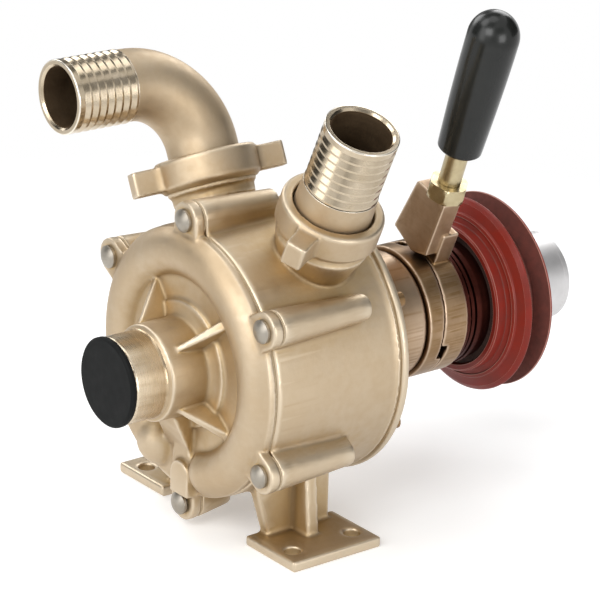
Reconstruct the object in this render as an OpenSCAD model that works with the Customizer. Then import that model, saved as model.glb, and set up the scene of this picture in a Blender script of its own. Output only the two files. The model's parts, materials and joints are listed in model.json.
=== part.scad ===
// Belt-driven bronze bilge pump with a hand-lever clutch.
// The shaft runs along Y at the height shaft_h, the front cover faces -Y and the floor is Z = 0.
// The origin is the centre of the foot bolt pattern.

/* [Mounting feet] */
// Gap between the floor and the boss under the barrel
floor_gap = 4.5; // [3:0.5:20]
// Spacing of the foot bolt holes across the pump
foot_bolt_x = 128; // [122:1:134]
// Spacing of the foot bolt holes along the shaft
foot_bolt_y = 38; // [30:1:42]
// Diameter of the foot bolt holes
foot_hole_d = 9; // [6:0.5:11]
// Width of each foot plate across the pump
foot_w = 40.5; // [36:0.5:44]
// Length of each foot plate along the shaft
foot_l = 56; // [54:1:64]
// Thickness of the foot plates
foot_t = 5.6; // [4:0.2:8]
// Distance from a foot bolt hole to the outer edge of its plate
foot_edge = 13; // [10:0.5:15]
// Thickness of the webs that carry the feet
web_t = 7; // [5:0.5:9]
// How far the webs run up into the barrel
web_sink = 6.2; // [4:0.2:8]

/* [Casing] */
// Outer radius of the casing barrel
barrel_r = 70.5; // [69.5:0.5:73]
// Length of the casing between its two machined faces
casing_l = 76; // [74:1:84]
// How far the casing's front face lies ahead of the foot bolt centre
front_reach = 35; // [33:0.5:37]
// Thickness of the barrel wall round the impeller
chamber_wall = 5.5; // [4.5:0.25:6.5]
// Thickness of the barrel wall round the water chambers
barrel_wall = 9.5; // [8:0.5:11]
// Thickness of the wall that parts the suction side from the delivery side
baffle_t = 5; // [4:0.5:8]
// How far the cover bolts stand outside the barrel
bolt_offset = 5.5; // [4.5:0.5:7.5]
// Number of cover bolts
bolt_n = 6; // [6:6:6]
// Radius of the bolt bosses at the front
boss_r = 9.5; // [8:0.25:10.5]
// Radius of the bolt bosses at their back end
boss_end_r = 6.8; // [5.5:0.1:8]
// Length of the bosses beside the ports
boss_upper_l = 56; // [44:1:60]
// Length of the bosses over the feet
boss_lower_l = 48; // [40:1:54]
// Length of the boss under the barrel
boss_bottom_l = 20; // [16:1:24]
// Diameter of the cover bolts
bolt_d = 8; // [6:0.5:8.5]
// Diameter of the domed heads of the cover bolts
bolt_head_d = 12; // [10:0.5:13]

/* [Front cover] */
// Distance from the middle of the raised side channel to the outside of the barrel
channel_inset = 13; // [12:0.25:13.5]
// Outer radius of the side channel's rounded back
channel_back_r = 13; // [12:0.25:13.5]
// Radius of the half-round water channel inside it
channel_bore_r = 7; // [5:0.25:8]
// Clock angle at which the side channel starts
channel_start = -72; // [-80:1:-64]
// Clock angle at which the side channel ends
channel_end = 238; // [230:1:242]
// Thickness of the cover inside the side channel
cover_floor_t = 3.7; // [3:0.1:5]
// Thickness of the bolt ears on the cover
ear_t = 5.7; // [5:0.1:8]
// How far the bearing hub stands out from the gasket face
hub_reach = 49.7; // [46:0.5:56]
// Radius of the front half of the bearing hub
hub_r = 22.6; // [21.5:0.1:23]
// Step between the front half and the back half of the bearing hub
hub_step = 2.4; // [1.4:0.1:4.4]
// Length of the front half of the bearing hub
hub_front_l = 20; // [16:1:24]
// Thickness of the ribs between the hub and the side channel
rib_t = 5; // [4:0.5:7]
// Clock angles of the ribs
rib_angles = [43, 126, 207, -37];
// How far the rubber cap stands out round the bearing hub
cap_lip = 0.5; // [0.3:0.1:2]
// Thickness of the rubber cap's face
cap_t = 3; // [2:0.25:5]

/* [Ports and hose tails] */
// Angle at which each port leans away from the vertical
port_tilt = 25; // [24:0.5:28]
// Gap between the port plate and the bore of the elbow's port
port_margin = 0.5; // [0.3:0.1:3]
// How far the straight tail's port lies behind the elbow's port
port_stagger = 11; // [10:0.5:13]
// How far the straight tail's port stands beside the line through the shaft
port_sidestep = 9; // [7:0.5:10]
// How far the port sockets stand out of the barrel
socket_reach = 19.5; // [17.5:0.5:25.5]
// Bore radius of the ports
port_bore_r = 15; // [12:0.5:16]
// Wall of the union nuts round the socket threads
nut_wall = 3.1; // [2.7:0.1:4.5]
// Height of the union nuts
nut_h = 17; // [15:0.5:20]
// Length of the lugs on the union nuts
lug_l = 14.4; // [9.4:0.5:14.9]
// Width of the lugs
lug_w = 11; // [8:0.5:14]
// Radius of the barbs, which is half the bore of the hose
barb_r = 19; // [17:0.25:20]
// Length of the barbed end of each hose tail
barb_l = 36; // [30:1:42]
// Number of barbs on each hose tail
barb_n = 7; // [5:1:9]
// Length of the plain end of each hose tail
barb_tip_l = 3.9; // [2:0.1:5]
// Wall of the hose tails at the barbs
tail_wall = 3.5; // [3:0.25:6]
// How far the socket threads stand out round the hose tails
union_step = 4.2; // [3.4:0.1:4.6]
// Bend radius of the elbow
elbow_bend_r = 37; // [34:0.5:42]
// Height of the straight tail's rim above its socket face
straight_tail_l = 59.8; // [56:0.1:64]

/* [Shaft and bearings] */
// Radius of the shaft in the impeller, the clutch and the rear bearings
shaft_r = 10; // [10:0.5:10]
// Radius of the shaft's front journal
journal_r = 8.5; // [8:0.25:9]
// Width of the star impeller
impeller_w = 12; // [10:0.5:14]
// Running gap at each side of the impeller
impeller_gap = 0.4; // [0.2:0.1:0.6]
// Number of vanes on the star impeller
vane_n = 20; // [12:1:24]
// Thickness of the impeller vanes
vane_t = 3.6; // [2.5:0.1:4.5]
// Radius of the impeller's solid hub disc
impeller_hub_r = 40; // [32:1:46]
// Thickness of the plate with the suction and delivery windows
port_plate_t = 7.5; // [5:0.5:7.5]
// Outer radius of the front bearing
front_bearing_r = 17.5; // [17:0.1:18]
// Width of the front bearing
front_bearing_w = 10; // [9:0.5:12]
// Outer radius of the rear bearing
rear_bearing_r = 23.5; // [22.5:0.1:23.5]
// Width of the rear bearing
rear_bearing_w = 14; // [12:0.5:15]
// Outer radius of the pulley bearings
pulley_bearing_r = 21; // [20:0.1:21.5]
// Width of the pulley bearings
pulley_bearing_w = 12; // [10:0.5:12]

/* [Bearing bracket] */
// How far the bracket's flange stands out round the barrel
flange_lip = 2.4; // [1.5:0.1:5.5]
// Thickness of the bracket's flange
flange_t = 4.5; // [4:0.25:8]
// Radius of the bracket's bearing hub
bracket_hub_r = 34; // [32:0.25:36]
// Length of the bracket's bearing hub
bracket_hub_l = 44.2; // [42:0.2:50]
// Wall of the nose that the clutch parts ride on
nose_wall = 2.7; // [2.5:0.1:3.1]
// Length of the nose
nose_l = 30; // [29:0.5:30]
// Number of screws that hold the bracket
bracket_screw_n = 6; // [4:1:8]
// Diameter of the screws that hold the bracket
bracket_screw_d = 5; // [4:0.5:5.5]

/* [Lever clutch] */
// Outer radius of the two cam rings
cam_r = 36; // [35:0.25:38]
// Thickness of the fixed cam ring below its ramps
fixed_cam_t = 9; // [8:0.25:11]
// Thickness of the lever's cam ring behind its ramps
lever_cam_t = 14.6; // [13:0.2:16]
// Number of ramps on each cam ring
ramp_n = 3; // [3:1:3]
// Arc that each ramp climbs over
ramp_arc = 98; // [90:1:100]
// Swing of the lever between released and engaged
lever_swing = 60; // [40:1:70]
// Travel of the clutch over that swing
clutch_travel = 2.4; // [1.6:0.1:3]
// Lean of the lever from the vertical when released
lever_lean = 19; // [10:0.5:30]
// Diameter of the lever rod
rod_d = 12; // [10:0.5:13]
// Diameter of the rod's threaded end, in the lock nut and the arm
rod_end_d = 9; // [7:0.5:9.5]
// Distance from the shaft line to the seat of the lever's lock nut
arm_top_h = 76; // [70:0.5:82]
// Thickness of the lever arm along the shaft
arm_t = 12; // [10:0.5:12.5]
// Height of the lock nut
lock_nut_h = 9; // [7:0.5:11]
// Width across the flats of the lock nut
lock_nut_af = 19; // [17:0.5:22]
// Distance from the shaft line to the bottom of the grip
grip_base_h = 105; // [98:1:110]
// Length of the grip
grip_l = 82; // [70:1:100]
// Radius of the grip at its bottom
grip_base_r = 11.6; // [10:0.1:12.5]
// Greatest radius of the grip
grip_r = 13.4; // [12.5:0.1:15]
// Half angle of the clutch cone
cone_angle = 10; // [9:0.5:12]
// Thickness of the friction lining
lining_t = 3; // [2.5:0.25:3.5]

/* [Pulley] */
// Outer radius of the V-pulley
pulley_r = 53.3; // [52:0.1:60]
// Width of the V-pulley over its rims
pulley_w = 16.3; // [16:0.1:20]
// Width of the belt groove at the rim
groove_w = 13; // [12.5:0.1:13]
// Depth of the belt groove
groove_depth = 10.5; // [9:0.25:10.5]
// Full angle of the belt groove
groove_angle = 38; // [34:1:38]
// Distance from the front of the drum to the front rim of the pulley
drum_reach = 11.6; // [11:0.2:13]
// Outer radius of the clutch drum's lip
drum_r = 40.5; // [40.3:0.1:41.5]
// Wall of the pulley's aluminium hub round its bearings
pulley_hub_wall = 3.1; // [2.8:0.1:4]
// How far the hub stands out behind the pulley
pulley_hub_reach = 39.5; // [38.5:0.5:46]

/* [Fits] */
// Radial clearance of a running fit
run_fit = 0.05; // [0.03:0.01:0.08]
// Clearance between moving pieces that must not touch
free_gap = 0.4; // [0.3:0.05:0.5]
// Thickness of the flat gaskets
gasket_t = 0.8; // [0.5:0.1:1.2]

/* [Hidden] */
$fn = 72;
eps = 0.01;

bronze = [0.78, 0.68, 0.54];
machined = [0.62, 0.53, 0.42];
brass = [0.80, 0.70, 0.42];
steel = [0.70, 0.71, 0.72];
stainless = [0.66, 0.66, 0.64];
black = [0.10, 0.10, 0.11];
red = [0.52, 0.13, 0.11];
silver = [0.80, 0.81, 0.82];
fibre = [0.35, 0.30, 0.24];

// Radii and heights that follow the barrel, the hose and the bearings.
chamber_r = barrel_r - chamber_wall;
bolt_circle_r = barrel_r + bolt_offset;
channel_circle_r = barrel_r - channel_inset;
flange_r = barrel_r + flange_lip;
shaft_h = bolt_circle_r + boss_r + floor_gap;
hub_root_r = hub_r + hub_step;
cap_r = hub_r + cap_lip;
socket_face_h = barrel_r + socket_reach;
socket_thread_r = barb_r + union_step;
tail_bore_r = barb_r - tail_wall;
nut_bore_r = socket_thread_r + 0.3;
nut_r = nut_bore_r + nut_wall;
lug_tip_r = nut_r + lug_l;
nose_r = rear_bearing_r + nose_wall;
pulley_hub_r = pulley_bearing_r + pulley_hub_wall;

// Stations along the shaft, from the front to the back.
face_y = -front_reach;
cover_y = face_y - gasket_t;
ear_y = cover_y - ear_t;
recess_y = cover_y - cover_floor_t;
hub_y = cover_y - hub_reach;
cap_y = hub_y - cap_t;
channel_set = 1.7;
finger_rise = 1;
front_bearing_y = hub_y + 2;
front_seal_w = 7;
front_seal_r = shaft_r + 4;
front_seal_y = front_bearing_y + front_bearing_w + 1.2;
impeller_y = cover_y + gasket_t + impeller_gap;
plate_y = impeller_y + impeller_w + impeller_gap;
chamber_y = plate_y + port_plate_t;
elbow_port_y = chamber_y + port_bore_r + port_margin;
straight_port_y = elbow_port_y + port_stagger;
back_y = face_y + casing_l;
flange_y = back_y + gasket_t;
hub_back_y = flange_y + flange_t + bracket_hub_l;
nose_y = hub_back_y + nose_l;
rear_bearing_y = hub_back_y - rear_bearing_w - 0.5;
rear_seal_w = 7;
rear_seal_r = shaft_r + 7.5;
rear_seal_y = rear_bearing_y - 1 - rear_seal_w;
collar_r = shaft_r + 2;
collar_l = 5;
bracket_spigot_y = back_y - 7;
seal_r = shaft_r + 7;
seal_seat_t = 6;
seal_seat_y = bracket_spigot_y;
seal_head_l = 10;
seal_spring_l = 10;
seal_spring_y = seal_seat_y - seal_head_l - seal_spring_l - 0.1;
lantern_y = seal_seat_y + seal_seat_t + 8;
lantern_wall = 7;
bracket_screw_reach = 10;

// Cam rings: the ramp climbs cam_rise over ramp_arc at the clutch's own lead.
cam_lead = clutch_travel / lever_swing;
cam_rise = cam_lead * ramp_arc;
cam_period = 360 / ramp_n;
cam_drop_arc = 2;
cam_slot_arc = 14;
cam_phase = -10;
fixed_cam_y = hub_back_y;
ramp_y = fixed_cam_y + fixed_cam_t;
lever_cam_y = ramp_y + free_gap;
lever_cam_back_y = lever_cam_y + cam_rise + lever_cam_t - cam_rise / 2;

// Thrust sleeve, thrust bearing and clutch cone.
sleeve_r = nose_r + 2.8;
sleeve_key_w = 6;
sleeve_key_h = 1.4;
sleeve_front_y = fixed_cam_y + 2;
sleeve_flange_y = lever_cam_back_y + 0.3;
sleeve_flange_t = 2.6;
sleeve_flange_r = cam_r - 1.6;
sleeve_back_y = sleeve_flange_y + sleeve_flange_t;
thrust_ball_r = (sleeve_flange_r - nose_r) * 0.354;
thrust_ball_n = 16;
thrust_circle_r = (nose_r + sleeve_flange_r) / 2 + 0.2;
race_depth = 0.7;
thrust_ball_y = sleeve_back_y - race_depth + thrust_ball_r + run_fit;
thrust_washer_y = thrust_ball_y + thrust_ball_r + run_fit - race_depth;
thrust_washer_t = 3;
cone_y = thrust_washer_y + thrust_washer_t;
cone_hub_l = 20.6;
cone_hub_r = shaft_r + 7;
drum_y = cone_y + 5.5;
drum_mouth_r = drum_r - 3.5;
drum_l = 20;
drum_floor_r = drum_mouth_r - drum_l * tan(cone_angle);
cone_gap = clutch_travel * tan(cone_angle) + 0.12;
lining_y = drum_y + 1.5;
lining_l = 14;

// Pulley, its hub and the two bearings inside.
rim_edge = 0.8;
rim_land = 6;
recess_l = 5;
drum_lip_l = 6.4;
rim_y = drum_y + drum_reach;
rim_back_y = rim_y + pulley_w;
web_y = drum_y + drum_l + 1;
hub_flange_r = pulley_hub_r + 9;
hub_flange_t = 4;
hub_screw_d = 4;
hub_screw_l = 9;
hub_end_y = rim_back_y + pulley_hub_reach;
hub_cap_t = 4;
bearing_a_y = web_y - 0.5;
circlip_t = 1.2;
shaft_tail = 4;
shaft_end_y = hub_end_y - hub_cap_t - 2.9;
bearing_b_y = shaft_end_y - shaft_tail - pulley_bearing_w;
bearing_spacer_l = bearing_b_y - bearing_a_y - pulley_bearing_w;
spring_washer_y = bearing_a_y - circlip_t - 1.2;

// Key, nut and union sizes that follow the shaft and the ports.
key_w = shaft_r * 0.5;
key_h = shaft_r * 0.2;
union_gasket_t = 1.2;
tail_collar_h = 5;
tail_collar_y = socket_face_h + union_gasket_t;
nut_lip_y = tail_collar_y + tail_collar_h + 0.1;
nut_base_y = nut_lip_y + 5.4 - nut_h;
barb_depth = 1.3;
tail_tube_r = barb_r - 0.5;
nut_hole_r = barb_r + 2;
elbow_bend_h = socket_face_h + 16.2;
elbow_turn = 19;
straight_turn = 28;

bottom_bolt = 4;
function bolt_angle(i) = 30 + i * 360 / bolt_n;
function impeller_circlip_places() = [impeller_y - circlip_t - 0.1, impeller_y + impeller_w + 0.1];
function shaft_circlip_places() = [
    seal_spring_y - circlip_t - 0.1, bearing_a_y - circlip_t - 0.1, bearing_b_y + pulley_bearing_w + 0.1
];
function boss_l(i) = [boss_upper_l, boss_lower_l, boss_upper_l, boss_lower_l, boss_bottom_l, boss_lower_l][i];

// --- Placing helpers ---

// Moves the origin to the shaft line at a station y.
module on_shaft(y = 0) translate([0, y, shaft_h]) children();

// Lays a piece drawn along +Z on the shaft line, running backwards from the station y.
module turned(y = 0) on_shaft(y) rotate([-90, 0, 0]) children();

// Swings what is drawn towards +X up to a clock angle seen from the front.
module clocked(a) rotate([0, -a, 0]) children();

// Puts a piece drawn along +Z on a port's axis; side is -1 for the elbow's port.
module on_port(side) {
    y = side < 0 ? elbow_port_y : straight_port_y;
    aside = side < 0 ? 0 : port_sidestep;
    on_shaft(y) rotate([0, side * port_tilt, 0]) translate([aside, 0, 0]) children();
}

// A ring drawn along +Z.
module tube(r_out, r_in, len) {
    difference() {
        cylinder(r = r_out, h = len);
        translate([0, 0, -1]) cylinder(r = r_in, h = len + 2);
    }
}

// Cylinders along the shaft at every cover bolt.
module bolt_holes(y, len, r) {
    for (i = [0 : bolt_n - 1])
        on_shaft() clocked(bolt_angle(i)) translate([bolt_circle_r, y, 0]) rotate([-90, 0, 0])
            cylinder(r = r, h = len, $fn = 32);
}

// Cylinders along the shaft at every bracket screw.
module bracket_screw_places(y) {
    for (i = [0 : bracket_screw_n - 1])
        on_shaft() clocked(90 + i * 360 / bracket_screw_n) translate([barrel_r - barrel_wall / 2, y, 0])
            rotate([-90, 0, 0]) children();
}

// A key along the shaft, half in the shaft and half in what it drives.
module shaft_key(y, len, play = 0) {
    on_shaft() clocked(90) translate([shaft_r - key_h - play, y - play, -key_w / 2 - play])
        cube([2 * key_h + 2 * play, len + 2 * play, key_w + 2 * play]);
}

// --- Ball bearings, drawn along +Z from z = 0 ---

function ball_r(bore, od) = (od - bore) * 0.32;

module bearing_groove(bore, od, w) {
    rotate_extrude() translate([(bore + od) / 2, w / 2]) circle(r = ball_r(bore, od) + run_fit, $fn = 40);
}

module bearing_outer(bore, od, w) {
    difference() {
        tube(od, (bore + od) / 2 + ball_r(bore, od) * 0.55, w);
        bearing_groove(bore, od, w);
    }
}

module bearing_inner(bore, od, w) {
    difference() {
        tube((bore + od) / 2 - ball_r(bore, od) * 0.55, bore, w);
        bearing_groove(bore, od, w);
    }
}

module bearing_balls(bore, od, w, n) {
    for (i = [0 : n - 1])
        rotate(i * 360 / n) translate([(bore + od) / 2, 0, w / 2]) sphere(r = ball_r(bore, od), $fn = 32);
}

// A lip seal: a steel case with a rubber lip that bears on the shaft.
module lip_seal(r_out, r_shaft, w) {
    rotate_extrude() polygon([
        [r_out, 0], [r_out, w], [r_out - 1.2, w], [r_out - 1.2, 1.6], [r_shaft + 1.6, 1.6],
        [r_shaft + 1.6, w - 2], [r_shaft + 0.1, w - 3], [r_shaft + 0.9, 0]
    ]);
}

// A snap ring with a gap; it sits in a groove of the same section.
module snap_ring(r_out, r_in, len, gap) {
    difference() {
        tube(r_out, r_in, len);
        translate([0, -gap / 2, -1]) cube([r_out + 1, gap, len + 2]);
    }
}

// A helical spring of round wire, built from rings of points along the helix.
module coil_spring(r, wire_r, len, turns) {
    sides = 8;
    steps = 14;
    count = turns * steps;
    rise = (len - 2 * wire_r) / count;
    points = [for (i = [0 : count]) for (j = [0 : sides - 1])
        let (a = i * 360 / steps, b = j * 360 / sides, q = r + wire_r * cos(b))
            [q * cos(a), q * sin(a), wire_r + i * rise + wire_r * sin(b)]];
    walls = [for (i = [0 : count - 1]) for (j = [0 : sides - 1])
        let (k = (j + 1) % sides, p = i * sides, n = (i + 1) * sides)
            each [[p + j, n + k, n + j], [p + j, p + k, n + k]]];
    front = [for (j = [sides - 1 : -1 : 0]) j];
    back = [for (j = [0 : sides - 1]) count * sides + j];
    polyhedron(points = points, faces = concat([front], walls, [back]));
}

// --- Face cam ---

// Height of a cam ring's ramped face at an angle inside one period.
function ramp_height(a, drop_at) =
    a < drop_at ? cam_lead * a : max(0, cam_lead * drop_at * (1 - (a - drop_at) / cam_drop_arc));

// Angles at which a ramped face needs a ray of points.
function ramp_rays(drop_at) = concat(
    [for (a = [0 : 7 : drop_at - 3]) a],
    [drop_at, drop_at + cam_drop_arc]
);

// A block with the helical ramps on top; its walls lie outside the ring that it cuts.
module ramp_block(r_in, r_out, depth, drop_at) {
    rays = [for (i = [0 : ramp_n - 1]) for (a = ramp_rays(drop_at))
        [i * cam_period + a, ramp_height(a, drop_at)]];
    n = len(rays);
    points = [for (ray = rays) each [
        [r_in * cos(ray[0]), r_in * sin(ray[0]), -depth],
        [r_out * cos(ray[0]), r_out * sin(ray[0]), -depth],
        [r_out * cos(ray[0]), r_out * sin(ray[0]), ray[1]],
        [r_in * cos(ray[0]), r_in * sin(ray[0]), ray[1]]]];
    faces = [for (i = [0 : n - 1]) for (j = [0 : 3])
        let (p = 4 * i, q = 4 * ((i + 1) % n), k = (j + 1) % 4)
            each [[p + j, q + k, q + j], [p + j, p + k, q + k]]];
    polyhedron(points = points, faces = faces);
}

// --- Casing ---

module casing_barrel() {
    turned(face_y) rotate_extrude() polygon([
        [0, 0], [barrel_r - 1, 0], [barrel_r, 1], [barrel_r, casing_l - 2],
        [barrel_r + 1.4, casing_l], [0, casing_l]
    ]);
}

module casing_boss(i) {
    l = boss_l(i);
    seat = bolt_circle_r - 14;
    on_shaft() clocked(bolt_angle(i)) {
        translate([bolt_circle_r, face_y, 0]) rotate([-90, 0, 0]) cylinder(r1 = boss_r, r2 = boss_end_r, h = l);
        translate([seat, face_y, 0]) rotate([0, 90, 0]) linear_extrude(bolt_circle_r - seat)
            polygon([[-boss_r, 0], [boss_r, 0], [boss_end_r, l], [-boss_end_r, l]]);
    }
}

// The elbow's port has a plain neck; the straight tail's port flares into the barrel.
module casing_sockets() {
    on_port(-1) {
        cylinder(r = barb_r, h = socket_face_h - 11);
        translate([0, 0, socket_face_h - 13]) cylinder(r = socket_thread_r - 1.7, h = 7);
        translate([0, 0, socket_face_h - 7]) cylinder(r = socket_thread_r, h = 7);
    }
    on_port(1) {
        translate([0, 0, barrel_r - 14]) cylinder(r1 = port_bore_r + 1, r2 = socket_thread_r + 1.3,
            h = socket_face_h - barrel_r + 5.5);
        translate([0, 0, socket_face_h - 8.5]) cylinder(r = socket_thread_r, h = 8.5);
    }
}

// A foot plate, the web that carries it and the rib that stiffens the web; side is 1 or -1.
module casing_foot(side) {
    outer_x = foot_bolt_x / 2 + foot_edge;
    inner_x = outer_x - foot_w;
    front = -foot_l / 2;
    web_x = inner_x + web_t;
    top = shaft_h - sqrt(barrel_r * barrel_r - web_x * web_x) + web_sink;
    mirror([side < 0 ? 1 : 0, 0, 0]) {
        translate([inner_x, front, 0]) cube([foot_w, foot_l, foot_t]);
        translate([inner_x, 0, 0]) rotate([90, 0, 90]) linear_extrude(web_t)
            polygon([[front + 11, 0], [-front - 8, 0], [-front - 8, top], [front - 1, top]]);
        translate([inner_x, web_t / 2, 0]) rotate([90, 0, 0]) linear_extrude(web_t)
            polygon([[0, 0], [foot_w * 0.5, 0], [foot_w * 0.5, foot_t], [foot_w * 0.42, top], [0, top]]);
    }
}

module pump_casing() {
    color(bronze) difference() {
        union() {
            casing_barrel();
            for (i = [0 : bolt_n - 1]) casing_boss(i);
            casing_sockets();
            casing_foot(1);
            casing_foot(-1);
        }
        turned(face_y - 1) cylinder(r = chamber_r, h = chamber_y - face_y + 1);
        difference() {
            turned(chamber_y - 1) cylinder(r = barrel_r - barrel_wall, h = back_y - chamber_y + 2);
            on_shaft() translate([-baffle_t / 2, chamber_y, -barrel_r])
                cube([baffle_t, bracket_spigot_y - chamber_y - 0.5, 2 * barrel_r]);
            turned(chamber_y) cylinder(r = seal_r + 10, h = bracket_spigot_y - chamber_y - 0.5);
        }
        turned(chamber_y - 1) cylinder(r = seal_r + 6, h = casing_l);
        turned(back_y) cylinder(r = flange_r + 0.5, h = casing_l);
        for (side = [-1, 1])
            on_port(side) translate([0, 0, barrel_r - barrel_wall - 14]) cylinder(r = port_bore_r, h = 60);
        bolt_holes(face_y - 1, boss_bottom_l - 3, bolt_d / 2);
        bracket_screw_places(back_y - bracket_screw_reach - 2)
            cylinder(d = bracket_screw_d, h = bracket_screw_reach + 3, $fn = 32);
        for (sx = [-1, 1]) for (sy = [-1, 1])
            translate([sx * foot_bolt_x / 2, sy * foot_bolt_y / 2, -1])
                cylinder(d = foot_hole_d, h = foot_t + 2, $fn = 40);
    }
}

// --- Front cover ---

// Section of the side channel up to a plane, set back from its centre.
module channel_section(r, back) {
    intersection() {
        circle(r = r, $fn = 64);
        translate([-r - 1, -r - 1]) square([2 * r + 2, r + 1 + back]);
    }
}

// A quarter ball that closes the side channel's end.
module channel_dome(r, back) {
    rotate_extrude(angle = 180) intersection() {
        channel_section(r, back);
        translate([0, -r - 1]) square([r + 1, 2 * r + 2]);
    }
}

// The side channel: a ring with a domed end at each side of the gap.
module channel_solid(r, back) {
    turned(cover_y + channel_set) {
        rotate(-channel_end) rotate_extrude(angle = channel_end - channel_start)
            translate([channel_circle_r, 0]) channel_section(r, back);
        rotate(-channel_start) translate([channel_circle_r, 0, 0]) channel_dome(r, back);
        rotate(-channel_end) translate([channel_circle_r, 0, 0]) mirror([0, 1, 0]) channel_dome(r, back);
    }
}

module cover_ears() {
    for (i = [0 : bolt_n - 1])
        on_shaft() clocked(bolt_angle(i)) {
            translate([bolt_circle_r, ear_y, 0]) rotate([-90, 0, 0]) cylinder(r = boss_r, h = ear_t);
            translate([channel_circle_r, ear_y, -boss_r])
                cube([bolt_circle_r - channel_circle_r, ear_t, 2 * boss_r]);
        }
}

// The bottom ear runs up between the channel's ends as a finger with a rounded top.
module cover_finger() {
    on_shaft() clocked(bolt_angle(bottom_bolt)) {
        translate([channel_circle_r - 7, ear_y - finger_rise, 0]) rotate([-90, 0, 0])
            cylinder(r = boss_r * 0.84, h = ear_t + finger_rise);
        translate([channel_circle_r - 7, ear_y - finger_rise, -boss_r * 0.84])
            cube([bolt_circle_r - channel_circle_r - 2, ear_t + finger_rise, boss_r * 1.68]);
    }
}

module cover_ribs() {
    for (a = rib_angles)
        on_shaft() clocked(a) translate([0, 0, -rib_t / 2]) linear_extrude(rib_t) polygon([
            [hub_r - 4, recess_y + eps], [channel_circle_r - 10, recess_y + eps],
            [channel_circle_r - 10, ear_y + 1.5], [hub_r - 4, hub_y + hub_front_l + 1]
        ]);
    // The broad pad under the hub, over the gap between the channel's ends.
    on_shaft() clocked(channel_start - 24) translate([0, 0, -11]) linear_extrude(22) polygon([
        [hub_r - 6, recess_y + 0.4], [channel_circle_r - 9, recess_y + 0.4],
        [channel_circle_r - 9, recess_y - 0.8], [hub_r - 6, hub_y + hub_front_l + 9]
    ]);
}

module cover_hub() {
    l = cover_y - hub_y;
    turned(hub_y) rotate_extrude() polygon([
        [0, 0], [hub_r - 0.6, 0], [hub_r, 0.6], [hub_r, hub_front_l], [hub_root_r - 0.6, hub_front_l],
        [hub_root_r, hub_front_l + 0.6], [hub_root_r, l - cover_floor_t - 4],
        [hub_root_r + 4.5, l - cover_floor_t - 2.5], [hub_root_r + 8, l - cover_floor_t - 2],
        [hub_root_r + 8, l], [0, l]
    ]);
}

module front_cover() {
    color(bronze) difference() {
        union() {
            turned(recess_y) cylinder(r = barrel_r - 0.5, h = cover_floor_t);
            channel_solid(channel_back_r, -channel_set);
            cover_ears();
            cover_finger();
            cover_ribs();
            cover_hub();
        }
        channel_solid(channel_bore_r, 0);
        turned(cover_y) cylinder(r = 2 * barrel_r, h = 40);
        turned(hub_y - 1) cylinder(r = shaft_r + 2, h = hub_reach + 2);
        turned(hub_y - 1) cylinder(r = front_bearing_r + run_fit, h = front_bearing_y - hub_y + front_bearing_w + 1);
        turned(front_seal_y - 2) cylinder(r = front_seal_r, h = front_seal_w + 2);
        bolt_holes(ear_y - 20, ear_t + 40, bolt_d / 2 + 0.25);
    }
}

module cover_gasket() {
    color(fibre) difference() {
        union() {
            turned(cover_y) cylinder(r = barrel_r - 1, h = gasket_t);
            for (i = [0 : bolt_n - 1])
                on_shaft() clocked(bolt_angle(i)) translate([bolt_circle_r, cover_y, 0]) rotate([-90, 0, 0])
                    cylinder(r = boss_r - 0.4, h = gasket_t);
        }
        turned(cover_y - 1) cylinder(r = chamber_r, h = gasket_t + 2);
        bolt_holes(cover_y - 1, gasket_t + 2, bolt_d / 2 + 0.25);
    }
}

module cover_bolts() {
    head_h = 4;
    color(stainless) for (i = [0 : bolt_n - 1]) {
        seat = i == bottom_bolt ? ear_y - finger_rise : ear_y;
        on_shaft() clocked(bolt_angle(i)) translate([bolt_circle_r, seat, 0]) rotate([-90, 0, 0]) {
            intersection() {
                translate([0, 0, -head_h]) cylinder(d = bolt_head_d, h = head_h);
                translate([0, 0, bolt_head_d * 0.75 - head_h]) sphere(r = bolt_head_d * 0.75);
            }
            translate([0, 0, -0.5]) cylinder(d = bolt_d - 0.1, h = ear_t + gasket_t + boss_bottom_l - 6, $fn = 32);
        }
    }
}

module bearing_cap() {
    color(black) turned(cap_y) rotate_extrude() polygon([
        [0, 0], [cap_r - 1, 0], [cap_r, 1], [cap_r, cap_t], [front_bearing_r - 0.1, cap_t],
        [front_bearing_r - 0.1, cap_t + 1.6], [front_bearing_r - 2.5, cap_t + 1.6],
        [front_bearing_r - 2.5, cap_t - 0.8], [0, cap_t - 0.8]
    ]);
}

module front_bearing_outer()
    color(steel) turned(front_bearing_y) bearing_outer(journal_r, front_bearing_r, front_bearing_w);

module front_bearing_inner()
    color(steel) turned(front_bearing_y) bearing_inner(journal_r + eps, front_bearing_r, front_bearing_w);

module front_bearing_balls()
    color(steel) turned(front_bearing_y) bearing_balls(journal_r, front_bearing_r, front_bearing_w, 9);

module front_lip_seal()
    color(black) turned(front_seal_y) lip_seal(front_seal_r - 0.02, shaft_r, front_seal_w - 0.2);

// --- Impeller and port plate ---

// One plate between the impeller and the water chambers, with a window on each side.
module port_plate() {
    window_r = shaft_r + 20;
    module window(a0, a1, r_in, r_out)
        rotate(a0) rotate_extrude(angle = a1 - a0) translate([r_in, -1]) square([r_out - r_in, port_plate_t + 2]);
    color(machined) turned(plate_y) difference() {
        cylinder(r = chamber_r - run_fit, h = port_plate_t);
        translate([0, 0, -1]) cylinder(r = shaft_r + 2, h = port_plate_t + 2);
        window(-70, 35, window_r, chamber_r - 9);
        window(150, 200, window_r, window_r + 14);
    }
}

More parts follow.
